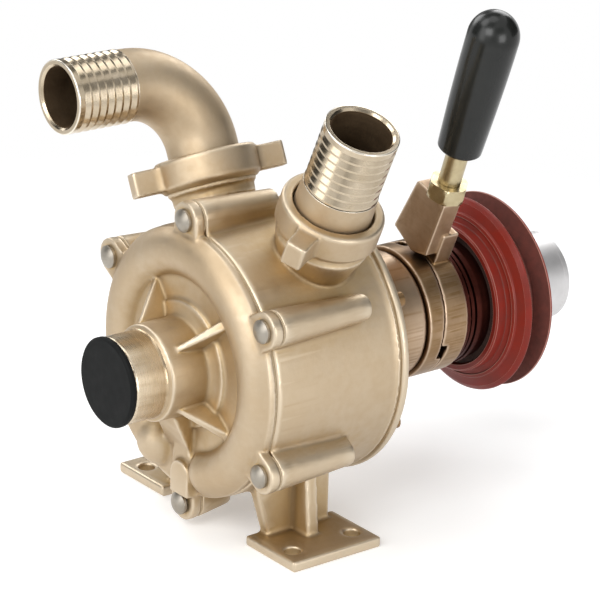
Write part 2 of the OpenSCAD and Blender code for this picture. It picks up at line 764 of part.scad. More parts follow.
// A star of straight vanes; the pockets between them are open at both sides.
module star_impeller() {
    color(machined) difference() {
        turned(impeller_y) linear_extrude(impeller_w) {
            circle(r = impeller_hub_r);
            for (i = [0 : vane_n - 1])
                rotate((i + 0.5) * 360 / vane_n) translate([impeller_hub_r - 2, -vane_t / 2])
                    square([chamber_r - free_gap - 0.6 - impeller_hub_r + 2, vane_t]);
        }
        turned(impeller_y - 1) cylinder(r = shaft_r + 0.02, h = impeller_w + 2);
        shaft_key(impeller_y - 1, impeller_w + 2, 0.05);
        // A shallow dish on both faces lightens the hub disc.
        turned(impeller_y - 1) tube(impeller_hub_r - 5, shaft_r + 8, 3);
        turned(impeller_y + impeller_w - 2) tube(impeller_hub_r - 5, shaft_r + 8, 3);
    }
}

module impeller_key() color(steel) shaft_key(impeller_y + 0.5, impeller_w - 1);

module impeller_circlips() {
    color(steel) for (y = impeller_circlip_places())
        turned(y) snap_ring(shaft_r + 1.4, shaft_r - 1, circlip_t, 6);
}

// --- Shaft ---

module pump_shaft() {
    step_y = front_seal_y - 0.6;
    color(stainless) difference() {
        union() {
            turned(hub_y + 1) cylinder(r1 = journal_r - 0.8, r2 = journal_r, h = 0.8);
            turned(hub_y + 1.8) cylinder(r = journal_r, h = step_y - hub_y - 1.6);
            turned(step_y) cylinder(r = shaft_r, h = shaft_end_y - step_y - 1);
            turned(shaft_end_y - 1) cylinder(r1 = shaft_r, r2 = shaft_r - 1, h = 1);
            turned(rear_bearing_y - collar_l) cylinder(r = collar_r, h = collar_l);
        }
        shaft_key(impeller_y + 0.5, impeller_w - 1, 0.02);
        shaft_key(cone_y + 0.5, cone_hub_l + clutch_travel - 1, 0.02);
        for (y = concat(impeller_circlip_places(), shaft_circlip_places()))
            turned(y - 0.05) tube(shaft_r + 3, shaft_r - 1.05, circlip_t + 0.1);
    }
}

// --- Mechanical seal ---

module seal_seat()
    color(silver) turned(seal_seat_y) tube(seal_r, shaft_r + 1.5, seal_seat_t);

module seal_head() {
    color(black) turned(seal_seat_y - seal_head_l - 0.02) rotate_extrude() polygon([
        [shaft_r + 0.05, 0], [seal_r - 1, 0], [seal_r - 1, seal_head_l - 3], [seal_r - 3, seal_head_l - 3],
        [seal_r - 3, seal_head_l], [shaft_r + 2, seal_head_l], [shaft_r + 2, seal_head_l - 3],
        [shaft_r + 0.05, seal_head_l - 3]
    ]);
}

module seal_spring() {
    color(stainless) turned(seal_spring_y) {
        tube(shaft_r + 5, shaft_r + run_fit, 0.8);
        translate([0, 0, 0.82]) coil_spring(shaft_r + 3.4, 1, seal_spring_l - 0.82, 4);
    }
}

// --- Bearing bracket ---

module bearing_bracket() {
    spigot_r = barrel_r - barrel_wall - run_fit;
    bracket_l = nose_y - bracket_spigot_y;
    color(bronze) difference() {
        union() {
            turned(bracket_spigot_y) cylinder(r = spigot_r, h = back_y - bracket_spigot_y + 2);
            turned(flange_y) rotate_extrude() polygon([
                [0, 0], [flange_r - 0.7, 0], [flange_r, 0.7], [flange_r, flange_t - 0.7], [flange_r - 0.7, flange_t],
                [bracket_hub_r + 8, flange_t], [bracket_hub_r + 2, flange_t + 2], [bracket_hub_r, flange_t + 6],
                [bracket_hub_r, flange_t + bracket_hub_l - 1], [bracket_hub_r - 1, flange_t + bracket_hub_l],
                [0, flange_t + bracket_hub_l]
            ]);
            turned(hub_back_y - 1) cylinder(r = nose_r, h = nose_l + 1);
            // A low step centres the fixed cam ring.
            turned(hub_back_y - 1) cylinder(r = sleeve_r + 0.28, h = 2.6);
            // Two keys on the nose stop the thrust sleeve from turning.
            for (a = [0, 180])
                on_shaft() clocked(a) translate([nose_r - 2, sleeve_front_y, -sleeve_key_w / 2])
                    cube([2 + sleeve_key_h, sleeve_flange_y - sleeve_front_y, sleeve_key_w]);
        }
        turned(bracket_spigot_y - 1) cylinder(r = shaft_r + 1.5, h = bracket_l + 2);
        turned(bracket_spigot_y - 1) cylinder(r = seal_r + 0.02, h = seal_seat_t + 1);
        turned(lantern_y) cylinder(r = collar_r + 1.5, h = bracket_l);
        // The open lantern between the shaft seal and the rear bearing.
        turned(lantern_y) cylinder(r = bracket_hub_r - lantern_wall, h = rear_seal_y - lantern_y - 3);
        // The chamber side of the flange is dished, with a rib that carries the baffle on.
        difference() {
            turned(bracket_spigot_y - 1) tube(spigot_r - 6, seal_r + 10, back_y - bracket_spigot_y + 1);
            on_shaft() translate([-baffle_t / 2, bracket_spigot_y - 2, -barrel_r])
                cube([baffle_t, 20, 2 * barrel_r]);
        }
        turned(rear_seal_y) cylinder(r = rear_seal_r, h = bracket_l);
        turned(rear_bearing_y) cylinder(r = rear_bearing_r + run_fit, h = bracket_l);
        turned(rear_bearing_y + rear_bearing_w + 0.05) tube(rear_bearing_r + 1.25, rear_bearing_r - 3, circlip_t + 0.1);
        bracket_screw_places(bracket_spigot_y - 1) cylinder(d = bracket_screw_d + 0.5, h = 40, $fn = 32);
        // A weep hole drains what passes the shaft seal.
        on_shaft(lantern_y + 6) translate([0, 0, -bracket_hub_r - 1]) cylinder(r = 4, h = bracket_hub_r, $fn = 40);
    }
}

module bracket_gasket() {
    color(fibre) difference() {
        turned(back_y) tube(flange_r - 2, barrel_r - barrel_wall + 0.1, gasket_t);
        bracket_screw_places(back_y - 1) cylinder(d = bracket_screw_d + 0.5, h = gasket_t + 2, $fn = 32);
    }
}

module bracket_screws() {
    head_h = bracket_screw_d;
    grip = bracket_screw_reach + gasket_t + flange_t;
    color(stainless) bracket_screw_places(back_y - bracket_screw_reach) difference() {
        union() {
            cylinder(d = bracket_screw_d - 0.1, h = grip + 0.5, $fn = 32);
            translate([0, 0, grip]) cylinder(d = bracket_screw_d * 1.65, h = head_h, $fn = 40);
        }
        translate([0, 0, grip + head_h * 0.5]) cylinder(d = bracket_screw_d * 0.9, h = head_h, $fn = 6);
    }
}

module rear_bearing_outer()
    color(steel) turned(rear_bearing_y) bearing_outer(shaft_r, rear_bearing_r, rear_bearing_w);

module rear_bearing_inner()
    color(steel) turned(rear_bearing_y + 0.02) bearing_inner(shaft_r + eps, rear_bearing_r, rear_bearing_w - 0.02);

module rear_bearing_balls()
    color(steel) turned(rear_bearing_y) bearing_balls(shaft_r, rear_bearing_r, rear_bearing_w, 8);

module rear_lip_seal()
    color(black) turned(rear_seal_y) lip_seal(rear_seal_r - 0.02, collar_r, rear_seal_w - 0.2);

module rear_circlip()
    color(steel) turned(rear_bearing_y + rear_bearing_w + 0.1)
        snap_ring(rear_bearing_r + 1.2, rear_bearing_r - 2.5, circlip_t, 10);

// --- Lever clutch ---

module fixed_cam_ring() {
    color(machined) turned(fixed_cam_y) difference() {
        tube(cam_r, sleeve_r + 0.3, fixed_cam_t + cam_rise);
        translate([0, 0, fixed_cam_t]) rotate(-cam_phase) mirror([0, 1, 0]) difference() {
            tube(2 * cam_r, sleeve_r / 2, cam_rise + 1);
            ramp_block(sleeve_r / 3, 3 * cam_r, 1, ramp_arc);
        }
    }
}

// The arm leans with the lever; its top is square to the rod.
module lever_arm() {
    foot_r = cam_r + 1.6;
    on_shaft(lever_arm_y) rotate([0, lever_lean, 0]) translate([0, arm_t, 0]) rotate([90, 0, 0]) {
        linear_extrude(arm_t) polygon([
            [-19.5, foot_r + 5], [-2.5, foot_r], [8.5, foot_r + 4], [rod_x + 7, arm_top_h - 1],
            [rod_x + 6, arm_top_h], [rod_x - 15.5, arm_top_h], [rod_x - 16.5, arm_top_h - 1]
        ]);
        // The lug that joins the arm to the ring, behind the ramps.
        translate([0, 0, lever_arm_y + arm_t - lever_cam_back_y + 1.5])
            linear_extrude(lever_cam_back_y - 1.5 - lever_cam_y - cam_rise - 0.6) polygon([
                [-9, cam_r * 0.93], [9, cam_r * 0.93], [10.5, foot_r + 16], [-6, foot_r + 16]
            ]);
    }
}
lever_arm_y = lever_cam_y + cam_rise - 7;
rod_x = 4;
rod_seat = 16;

module lever_cam_ring() {
    color(machined) difference() {
        union() {
            turned(lever_cam_y) difference() {
                tube(cam_r, sleeve_r + run_fit, lever_cam_back_y - lever_cam_y);
                rotate(-cam_phase) mirror([0, 1, 0])
                    ramp_block(sleeve_r / 3, 3 * cam_r, 1, ramp_arc + cam_slot_arc);
            }
            lever_arm();
        }
        on_rod(arm_top_h - rod_seat) cylinder(d = rod_end_d, h = 2 * rod_seat, $fn = 40);
    }
}

// Puts a piece drawn along +Z on the lever rod, at a distance from the shaft line.
module on_rod(h) on_shaft(lever_arm_y + arm_t / 2) rotate([0, lever_lean, 0]) translate([rod_x, 0, h]) children();

// The rod's thinner end is screwed into the arm; its shoulder stands on the lock nut.
module lever_rod() {
    shoulder = arm_top_h + lock_nut_h + 0.02;
    tip = grip_base_h + grip_l * 0.5;
    color(brass) {
        on_rod(arm_top_h - rod_seat + 0.5)
            cylinder(d = rod_end_d - 0.1, h = shoulder - arm_top_h + rod_seat, $fn = 40);
        on_rod(shoulder) cylinder(d = rod_d - 0.1, h = tip - shoulder - 1, $fn = 40);
        on_rod(tip - 1) cylinder(d1 = rod_d - 0.1, d2 = rod_d - 2, h = 1, $fn = 40);
    }
}

module lever_lock_nut() {
    color(brass) on_rod(arm_top_h) intersection() {
        difference() {
            rotate(15) cylinder(d = lock_nut_af / cos(30), h = lock_nut_h, $fn = 6);
            translate([0, 0, -1]) cylinder(d = rod_end_d, h = lock_nut_h + 2, $fn = 40);
        }
        cylinder(r1 = lock_nut_af * 0.53, r2 = lock_nut_af * 0.53 + lock_nut_h * 1.7, h = lock_nut_h);
        translate([0, 0, lock_nut_h]) mirror([0, 0, 1])
            cylinder(r1 = lock_nut_af * 0.53, r2 = lock_nut_af * 0.53 + lock_nut_h * 1.7, h = lock_nut_h);
    }
}

// The grip swells towards its domed top.
module lever_grip() {
    dome = grip_r * 1.05;
    body = grip_l - dome;
    profile = concat(
        [[0, 0], [grip_base_r - 1.2, 0], [grip_base_r, 1.2]],
        [for (t = [0.1 : 0.1 : 1]) [grip_base_r + (grip_r - grip_base_r) * sin(90 * t), body * t]],
        [for (a = [15 : 15 : 75]) [grip_r * cos(a), body + dome * sin(a)]],
        [[0, grip_l]]
    );
    color(black) on_rod(grip_base_h) difference() {
        rotate_extrude() polygon(profile);
        translate([0, 0, -1]) cylinder(d = rod_d, h = grip_l * 0.5 + 1.5, $fn = 40);
        grip_pin_place() cylinder(d = 4, h = 2 * grip_r + 4, $fn = 24);
    }
}

module grip_pin_place() translate([-grip_base_r - 2, 0, 5]) rotate([0, 90, 0]) children();

// The pin crosses the grip beside the rod and holds it in the groove of the rod.
module grip_pin() {
    color(black) on_rod(grip_base_h) difference() {
        grip_pin_place() cylinder(d = 3.9, h = grip_base_r - rod_d / 2 + 1.9, $fn = 24);
        cylinder(d = rod_d, h = 12, $fn = 40);
    }
}

// A keyed sleeve on the nose: the lever ring turns on it and pushes its flange.
module thrust_sleeve() {
    color(steel) difference() {
        union() {
            turned(sleeve_front_y) cylinder(r = sleeve_r, h = sleeve_back_y - sleeve_front_y);
            turned(sleeve_flange_y) cylinder(r = sleeve_flange_r, h = sleeve_flange_t);
        }
        turned(sleeve_front_y - 1) cylinder(r = nose_r + run_fit, h = sleeve_back_y - sleeve_front_y + 2);
        thrust_race();
        for (a = [0, 180])
            on_shaft() clocked(a) translate([nose_r - 2, sleeve_front_y - 1, -sleeve_key_w / 2 - 0.2])
                cube([2.3 + sleeve_key_h, sleeve_back_y - sleeve_front_y + 2, sleeve_key_w + 0.4]);
    }
}

// The groove that the thrust balls roll in, cut into both of its washers.
module thrust_race()
    turned(thrust_ball_y) rotate_extrude() translate([thrust_circle_r, 0])
        circle(r = thrust_ball_r + run_fit, $fn = 40);

module thrust_balls() {
    color(steel) turned(thrust_ball_y) for (i = [0 : thrust_ball_n - 1])
        rotate(i * 360 / thrust_ball_n) translate([thrust_circle_r, 0, 0]) sphere(r = thrust_ball_r, $fn = 32);
}

// A flat cage keeps the thrust balls apart.
module thrust_cage() {
    color(brass) turned(thrust_ball_y - 1) difference() {
        tube(sleeve_flange_r - 0.4, nose_r + 0.5, 2);
        for (i = [0 : thrust_ball_n - 1])
            rotate(i * 360 / thrust_ball_n) translate([thrust_circle_r, 0, -1])
                cylinder(r = thrust_ball_r + run_fit, h = 4, $fn = 32);
    }
}

module thrust_washer() {
    color(steel) difference() {
        turned(thrust_washer_y) tube(sleeve_flange_r, nose_r + 0.5, thrust_washer_t);
        thrust_race();
    }
}

// The cone is a dished wheel that slides on the shaft's long key.
module clutch_cone() {
    slope = tan(cone_angle);
    rim_front_r = drum_mouth_r - (lining_y - drum_y) * slope - cone_gap - lining_t;
    rim_back_r = rim_front_r - lining_l * slope;
    front = lining_y - cone_y;
    back = front + lining_l;
    color(machined) difference() {
        turned(cone_y) rotate_extrude() polygon([
            [shaft_r + run_fit, 0], [sleeve_flange_r - 1, 0], [rim_front_r, 3], [rim_front_r, front],
            [rim_back_r, back], [rim_back_r - 4, back], [rim_front_r - 5, 6.5], [cone_hub_r, 6.5],
            [cone_hub_r, cone_hub_l], [shaft_r + 4.8, cone_hub_l], [shaft_r + 4.8, 10], [shaft_r + run_fit, 10]
        ]);
        shaft_key(cone_y - 1, cone_hub_l + 2, 0.1);
    }
}

module clutch_lining() {
    slope = tan(cone_angle);
    r0 = drum_mouth_r - (lining_y - drum_y) * slope - cone_gap;
    r1 = r0 - lining_l * slope;
    color(fibre) turned(lining_y) rotate_extrude()
        polygon([[r0, 0], [r1, lining_l], [r1 - lining_t, lining_l], [r0 - lining_t, 0]]);
}

module clutch_key() color(steel) shaft_key(cone_y + 0.6, cone_hub_l + clutch_travel - 1.2);

module return_spring() {
    y0 = cone_y + 10.1;
    color(stainless) turned(y0) coil_spring(shaft_r + 3.4, 1, spring_washer_y - 0.1 - y0, 4);
}

module spring_washer() color(steel) turned(spring_washer_y) tube(shaft_r + 4.6, shaft_r + run_fit, 1);

// --- Pulley ---

module v_pulley() {
    root_w = groove_w - 2 * groove_depth * tan(groove_angle / 2);
    mid = drum_reach + pulley_w / 2;
    floor_l = web_y - drum_y;
    back = drum_reach + pulley_w;
    color(red) difference() {
        turned(drum_y) rotate_extrude() polygon([
            [drum_mouth_r, 0], [drum_r - rim_edge, 0], [drum_r, rim_edge], [drum_r, drum_lip_l],
            [drum_r + 2 * rim_edge, drum_lip_l + rim_edge],
            [pulley_r - rim_edge, drum_reach], [pulley_r, drum_reach + rim_edge],
            [pulley_r, mid - groove_w / 2], [pulley_r - groove_depth, mid - root_w / 2],
            [pulley_r - groove_depth, mid + root_w / 2], [pulley_r, mid + groove_w / 2],
            [pulley_r, back - rim_edge], [pulley_r - rim_edge, back], [pulley_r - rim_land, back],
            [pulley_r - rim_land - 3, back - recess_l], [hub_flange_r + 3, back - recess_l], [hub_flange_r + 2, back],
            [pulley_hub_r, back], [pulley_hub_r, floor_l], [drum_floor_r - 2, floor_l],
            [drum_floor_r, floor_l - 1]
        ]);
        hub_screw_places(web_y - 1) cylinder(d = hub_screw_d + 0.2, h = 2 * hub_screw_l, $fn = 32);
    }
}

module hub_screw_places(y) {
    for (i = [0 : 3])
        on_shaft() clocked(45 + i * 90) translate([pulley_hub_r + 4.6, y, 0]) rotate([-90, 0, 0]) children();
}

module pulley_hub() {
    front = bearing_a_y - 1.5;
    color(silver) difference() {
        union() {
            turned(front) cylinder(r = pulley_hub_r - 0.02, h = hub_end_y - hub_cap_t - front);
            turned(rim_back_y) cylinder(r = hub_flange_r, h = hub_flange_t);
        }
        turned(front - 1) cylinder(r = pulley_bearing_r - 3, h = hub_end_y - front + 1);
        turned(bearing_a_y) cylinder(r = pulley_bearing_r + 0.01, h = hub_end_y - bearing_a_y);
        hub_screw_places(rim_back_y - 1) cylinder(d = hub_screw_d + 0.6, h = hub_flange_t + 2, $fn = 32);
    }
}

module pulley_hub_screws() {
    color(stainless) hub_screw_places(rim_back_y + hub_flange_t) difference() {
        union() {
            translate([0, 0, -hub_screw_l]) cylinder(d = hub_screw_d, h = hub_screw_l + 0.5, $fn = 32);
            cylinder(d = hub_screw_d * 1.9, h = hub_screw_d * 0.85, $fn = 40);
        }
        translate([0, 0, hub_screw_d * 0.4]) cylinder(d = hub_screw_d, h = hub_screw_d, $fn = 6);
    }
}

module pulley_bearing_outers()
    color(steel) for (y = [bearing_a_y, bearing_b_y])
        turned(y) bearing_outer(shaft_r, pulley_bearing_r, pulley_bearing_w);

module pulley_bearing_inners()
    color(steel) for (y = [bearing_a_y, bearing_b_y])
        turned(y) bearing_inner(shaft_r + eps, pulley_bearing_r, pulley_bearing_w);

module pulley_bearing_balls()
    color(steel) for (y = [bearing_a_y, bearing_b_y])
        turned(y) bearing_balls(shaft_r, pulley_bearing_r, pulley_bearing_w, 9);

module bearing_spacer()
    color(steel) turned(bearing_a_y + pulley_bearing_w) tube(shaft_r + 2.5, shaft_r + eps, bearing_spacer_l);

module shaft_circlips() {
    color(steel) for (y = shaft_circlip_places())
        turned(y) snap_ring(shaft_r + 1.8, shaft_r - 1, circlip_t, 6);
}

module hub_cap() {
    color(silver) turned(hub_end_y - hub_cap_t) rotate_extrude() polygon([
        [0, 0.8], [pulley_bearing_r - 3, 0.8], [pulley_bearing_r - 3, -3], [pulley_bearing_r - 0.1, -3],
        [pulley_bearing_r - 0.1, 0], [pulley_hub_r - 0.02, 0], [pulley_hub_r - 0.02, hub_cap_t - 1.2],
        [pulley_hub_r - 1.2, hub_cap_t], [0, hub_cap_t]
    ]);
}

// --- Hose tails and union nuts ---

// Barbs along +Z: each rises sharply towards the hose's end and slopes down to the next.
module barbs(len) {
    row = len - barb_tip_l;
    pitch = row / barb_n;
    root_r = barb_r - barb_depth;
    teeth = [for (i = [0 : barb_n - 1]) each [
        [root_r, i * pitch], [barb_r, i * pitch + 0.3], [barb_r, i * pitch + 1.5], [root_r, (i + 1) * pitch]
    ]];
    rotate_extrude() polygon(concat(
        [[0, 0]], teeth, [[barb_r, row + 0.3], [barb_r, len - 0.6], [barb_r - 0.6, len], [0, len]]
    ));
}

module elbow_hose_tail() {
    straight = elbow_bend_h - tail_collar_y - tail_collar_h;
    color(bronze) on_port(-1) difference() {
        union() {
            translate([0, 0, tail_collar_y]) cylinder(r = socket_thread_r - 0.2, h = tail_collar_h);
            translate([0, 0, tail_collar_y + tail_collar_h - 1]) cylinder(r = tail_tube_r, h = straight + 1);
            elbow_sweep(tail_tube_r);
            translate([0, -elbow_bend_r, elbow_bend_h + elbow_bend_r]) rotate([90, 0, 0]) {
                cylinder(r = tail_tube_r, h = 3.7);
                translate([0, 0, 3.7]) barbs(barb_l);
            }
        }
        translate([0, 0, tail_collar_y - 1]) cylinder(r = tail_bore_r, h = elbow_bend_h - tail_collar_y + 1);
        elbow_sweep(tail_bore_r);
        translate([0, -elbow_bend_r, elbow_bend_h + elbow_bend_r]) rotate([90, 0, 0]) {
            cylinder(r = tail_bore_r, h = barb_l + 10);
            translate([0, 0, 3.7 + barb_l - 1.2]) cylinder(r1 = tail_bore_r, r2 = tail_bore_r + 1.2, h = 1.3);
        }
    }
}

module elbow_sweep(r) {
    translate([0, -elbow_bend_r, elbow_bend_h]) rotate([90, 0, 90])
        rotate_extrude(angle = 90) translate([elbow_bend_r, 0]) circle(r = r);
}

module straight_hose_tail() {
    rim_h = socket_face_h + straight_tail_l;
    color(bronze) on_port(1) difference() {
        union() {
            translate([0, 0, tail_collar_y]) cylinder(r = socket_thread_r - 0.2, h = tail_collar_h);
            translate([0, 0, tail_collar_y + tail_collar_h - 1])
                cylinder(r1 = barb_r + 1.2, r2 = barb_r + 0.3, h = rim_h - barb_l - tail_collar_y - tail_collar_h + 1);
            translate([0, 0, rim_h - barb_l]) barbs(barb_l);
        }
        translate([0, 0, tail_collar_y - 1]) cylinder(r = tail_bore_r, h = 100);
        translate([0, 0, rim_h - 1.2]) cylinder(r1 = tail_bore_r, r2 = tail_bore_r + 1.2, h = 1.3);
    }
}

// A union nut with two lugs, drawn at its place on a port's axis.
module union_nut(turn) {
    lug_h = nut_h * 0.76;
    difference() {
        union() {
            translate([0, 0, nut_base_y]) rotate_extrude() polygon([
                [0, 0], [nut_r - 2.4, 0], [nut_r, 3], [nut_r, nut_h - 1.2], [nut_r - 1.2, nut_h], [0, nut_h]
            ]);
            for (side = [-1, 1])
                translate([0, 0, nut_base_y + (nut_h - lug_h) / 2]) rotate(turn) linear_extrude(lug_h) polygon([
                    [-lug_w / 2 - 1.5, side * (nut_r - 2)], [lug_w / 2 + 1.5, side * (nut_r - 2)],
                    [lug_w / 2, side * (nut_r + 2.5)], [lug_w / 2, side * (lug_tip_r - 1)],
                    [lug_w / 2 - 1, side * lug_tip_r], [-lug_w / 2 + 1, side * lug_tip_r],
                    [-lug_w / 2, side * (lug_tip_r - 1)], [-lug_w / 2, side * (nut_r + 2.5)]
                ]);
        }
        translate([0, 0, nut_base_y - 1]) cylinder(r = nut_bore_r, h = nut_lip_y - nut_base_y + 1);
        translate([0, 0, nut_base_y - 1]) cylinder(r = nut_hole_r, h = nut_h + 2);
    }
}

module elbow_union_nut() color(bronze) on_port(-1) union_nut(-elbow_turn);

module straight_union_nut() color(bronze) on_port(1) union_nut(straight_turn);

module union_gaskets()
    color(fibre) for (side = [-1, 1])
        on_port(side) translate([0, 0, socket_face_h]) tube(socket_thread_r - 0.4, port_bore_r + 1.5, union_gasket_t);

pump_casing();
front_cover();
cover_gasket();
cover_bolts();
bearing_cap();
front_bearing_outer();
front_bearing_inner();
front_bearing_balls();
front_lip_seal();
port_plate();
star_impeller();
impeller_key();
impeller_circlips();
pump_shaft();
seal_seat();
seal_head();
seal_spring();
bearing_bracket();
bracket_gasket();
bracket_screws();
rear_bearing_outer();
rear_bearing_inner();
rear_bearing_balls();
rear_lip_seal();
rear_circlip();
fixed_cam_ring();
lever_cam_ring();
lever_rod();
lever_lock_nut();
lever_grip();
grip_pin();
thrust_sleeve();
thrust_balls();
thrust_cage();
thrust_washer();
clutch_cone();
clutch_lining();
clutch_key();
return_spring();
spring_washer();
v_pulley();
pulley_hub();
pulley_hub_screws();
pulley_bearing_outers();
pulley_bearing_inners();
pulley_bearing_balls();
bearing_spacer();
shaft_circlips();
hub_cap();
elbow_hose_tail();
straight_hose_tail();
elbow_union_nut();
straight_union_nut();
union_gaskets();
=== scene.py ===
# Bronze bilge pump with a hand-lever clutch: the finished pieces around its CAD frame.
import json
import math

import bmesh
import bpy
import numpy as np
from mathutils import Matrix, Vector
from mathutils.bvhtree import BVHTree
from mathutils.kdtree import KDTree


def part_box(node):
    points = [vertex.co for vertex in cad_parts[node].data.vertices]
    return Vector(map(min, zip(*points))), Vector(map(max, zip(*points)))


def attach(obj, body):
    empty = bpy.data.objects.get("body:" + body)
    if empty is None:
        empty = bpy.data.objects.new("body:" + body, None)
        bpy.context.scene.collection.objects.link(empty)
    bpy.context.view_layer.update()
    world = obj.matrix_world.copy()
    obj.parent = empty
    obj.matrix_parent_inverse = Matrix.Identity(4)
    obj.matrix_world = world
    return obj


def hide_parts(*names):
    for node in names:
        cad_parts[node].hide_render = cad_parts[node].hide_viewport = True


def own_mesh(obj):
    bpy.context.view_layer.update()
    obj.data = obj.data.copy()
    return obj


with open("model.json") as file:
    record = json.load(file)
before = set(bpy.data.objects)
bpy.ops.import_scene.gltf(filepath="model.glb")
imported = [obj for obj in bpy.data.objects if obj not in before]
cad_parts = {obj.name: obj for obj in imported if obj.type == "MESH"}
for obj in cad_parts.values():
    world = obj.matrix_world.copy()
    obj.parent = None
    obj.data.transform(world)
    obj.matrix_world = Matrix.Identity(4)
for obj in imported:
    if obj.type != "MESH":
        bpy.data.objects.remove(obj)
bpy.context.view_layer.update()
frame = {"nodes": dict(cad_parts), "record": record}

mm = 0.001
shaftHeight = 90
print("frame loaded:", len(frame["nodes"]), "nodes")


cameraSetup = {
    "place": (1.1269, -0.8481, 0.6332),
    "right": (0.6086, 0.7931, 0.0231),
    "up": (-0.2863, 0.1924, 0.9386),
    "lens": 177.4,
}

studioAim = (0.0, 0.03, 0.1)
studioRadius = 1.3  # lamps and cards stand on a dome of this radius round the pump

lampSetup = {
    # name: azimuth and elevation in degrees (azimuth 0 is +X, 270 is in front), size in metres, watts
    "frontLamp": (300, 35, (0.6, 0.6), 6.6),
    "rightLamp": (0, 8, (0.6, 0.6), 5.2),
    "leftLamp": (270, 22, (0.6, 1.1), 4.4),
    "leftTopLamp": (240, 62, (0.6, 0.6), 3.5),
    "backLamp": (120, 35, (0.6, 0.6), 3.6),
    "farLamp": (180, 35, (0.6, 0.6), 3.6),
    "topLamp": (0, 90, (0.6, 0.6), 1.5),
}

cardSetup = {
    # Dark cards that only the metal and the gloss see: azimuth, elevation, size, brightness
    "rightCard": (70, 26, (1.3, 1.0), 0.05),
    "backCard": (156, 8, (1.1, 0.55), 0.15),
    "leftCard": (224, 30, (0.9, 1.0), 0.05),
    "farTopCard": (145, 64, (1.0, 0.55), 0.15),
    "gapCard": (150, 35, (0.35, 0.55), 0.2),
    "aboveCard": (350, 37, (0.9, 0.55), 0.3),
    "frontTopCard": (300, 63, (0.6, 0.55), 0.15),
    "frontCard": (322, 8, (0.5, 0.6), 0.55),
}

worldSetup = {"diffuseLight": 0.42, "shownWhite": 1.0}

floorSetup = {"radius": 2.4, "colour": (0.86, 0.86, 0.86, 1), "fadeFrom": 0.30, "fadeTo": 0.62, "lift": 0.3}


def aimAt(place, target):
    back = (Vector(place) - Vector(target)).normalized()
    right = Vector((-back.y, back.x, 0)).normalized() if abs(back.z) < 0.999 else Vector((1, 0, 0))
    matrix = Matrix((right, back.cross(right), back)).transposed().to_4x4()
    matrix.translation = place
    return matrix


def onDome(azimuth, elevation):
    # A place on the dome round the pump, turned to face it.
    a, e = math.radians(azimuth), math.radians(elevation)
    out = Vector((math.cos(a) * math.cos(e), math.sin(a) * math.cos(e), math.sin(e)))
    return aimAt(Vector(studioAim) + out * studioRadius, studioAim)


def addObject(name, data, matrix=None):
    thing = bpy.data.objects.new(name, data)
    bpy.context.scene.collection.objects.link(thing)
    if matrix:
        thing.matrix_world = matrix
    return thing


def setCamera():
    right, up = Vector(cameraSetup["right"]).normalized(), Vector(cameraSetup["up"])
    up = (up - right * up.dot(right)).normalized()
    matrix = Matrix((right, up, right.cross(up))).transposed().to_4x4()
    matrix.translation = cameraSetup["place"]
    camera = bpy.data.cameras.new("camera")
    camera.lens, camera.clip_start, camera.clip_end = cameraSetup["lens"], 0.05, 20
    bpy.context.scene.camera = addObject("camera", camera, matrix)


def setLamps():
    for name, (azimuth, elevation, size, power) in lampSetup.items():
        lamp = bpy.data.lights.new(name, "AREA")
        lamp.shape, lamp.size, lamp.size_y, lamp.energy = "RECTANGLE", size[0], size[1], power
        addObject(name, lamp, onDome(azimuth, elevation))


def addNode(tree, kind, inputs=None, **settings):
    # Settings go on the node; each input is a value, or a socket that gets linked.
    made = tree.nodes.new(kind)
    for key, value in settings.items():
        setattr(made, key, value)
    for key, value in (inputs or {}).items():
        socket = made.inputs[key]
        if isinstance(value, bpy.types.NodeSocket):
            tree.links.new(value, socket)
        else:
            socket.default_value = value
    return made


def maths(tree, operation, first, second=0.0, clamp=False):
    made = addNode(tree, "ShaderNodeMath", {0: first, 1: second}, operation=operation, use_clamp=clamp)
    return made.outputs[0]


def spread(tree, value, lowIn, highIn, lowOut=0.0, highOut=1.0):
    inputs = {"Value": value, "From Min": lowIn, "From Max": highIn, "To Min": lowOut, "To Max": highOut}
    return addNode(tree, "ShaderNodeMapRange", inputs, clamp=True).outputs[0]


def noise(tree, vector, scale, detail=3.0, roughness=0.5):
    inputs = {"Vector": vector, "Scale": scale, "Detail": detail, "Roughness": roughness}
    return addNode(tree, "ShaderNodeTexNoise", inputs).outputs["Fac"]


def blendColour(tree, factor, first, second):
    mixed = addNode(tree, "ShaderNodeMix", data_type="RGBA")
    for socket, value in ((mixed.inputs[0], factor), (mixed.inputs[6], first), (mixed.inputs[7], second)):
        if isinstance(value, bpy.types.NodeSocket):
            tree.links.new(value, socket)
        else:
            socket.default_value = value
    return mixed.outputs[2]


def newMaterial(name):
    material = bpy.data.materials.new(name)
    material.use_nodes = True
    tree = material.node_tree
    tree.nodes.clear()
    shader = addNode(tree, "ShaderNodeBsdfPrincipled")
    addNode(tree, "ShaderNodeOutputMaterial", {"Surface": shader.outputs[0]})
    return material, tree, shader


def objectCoords(tree):
    return addNode(tree, "ShaderNodeTexCoord").outputs["Object"]


def attributeValue(tree, name):
    return addNode(tree, "ShaderNodeAttribute", attribute_name=name).outputs["Fac"]


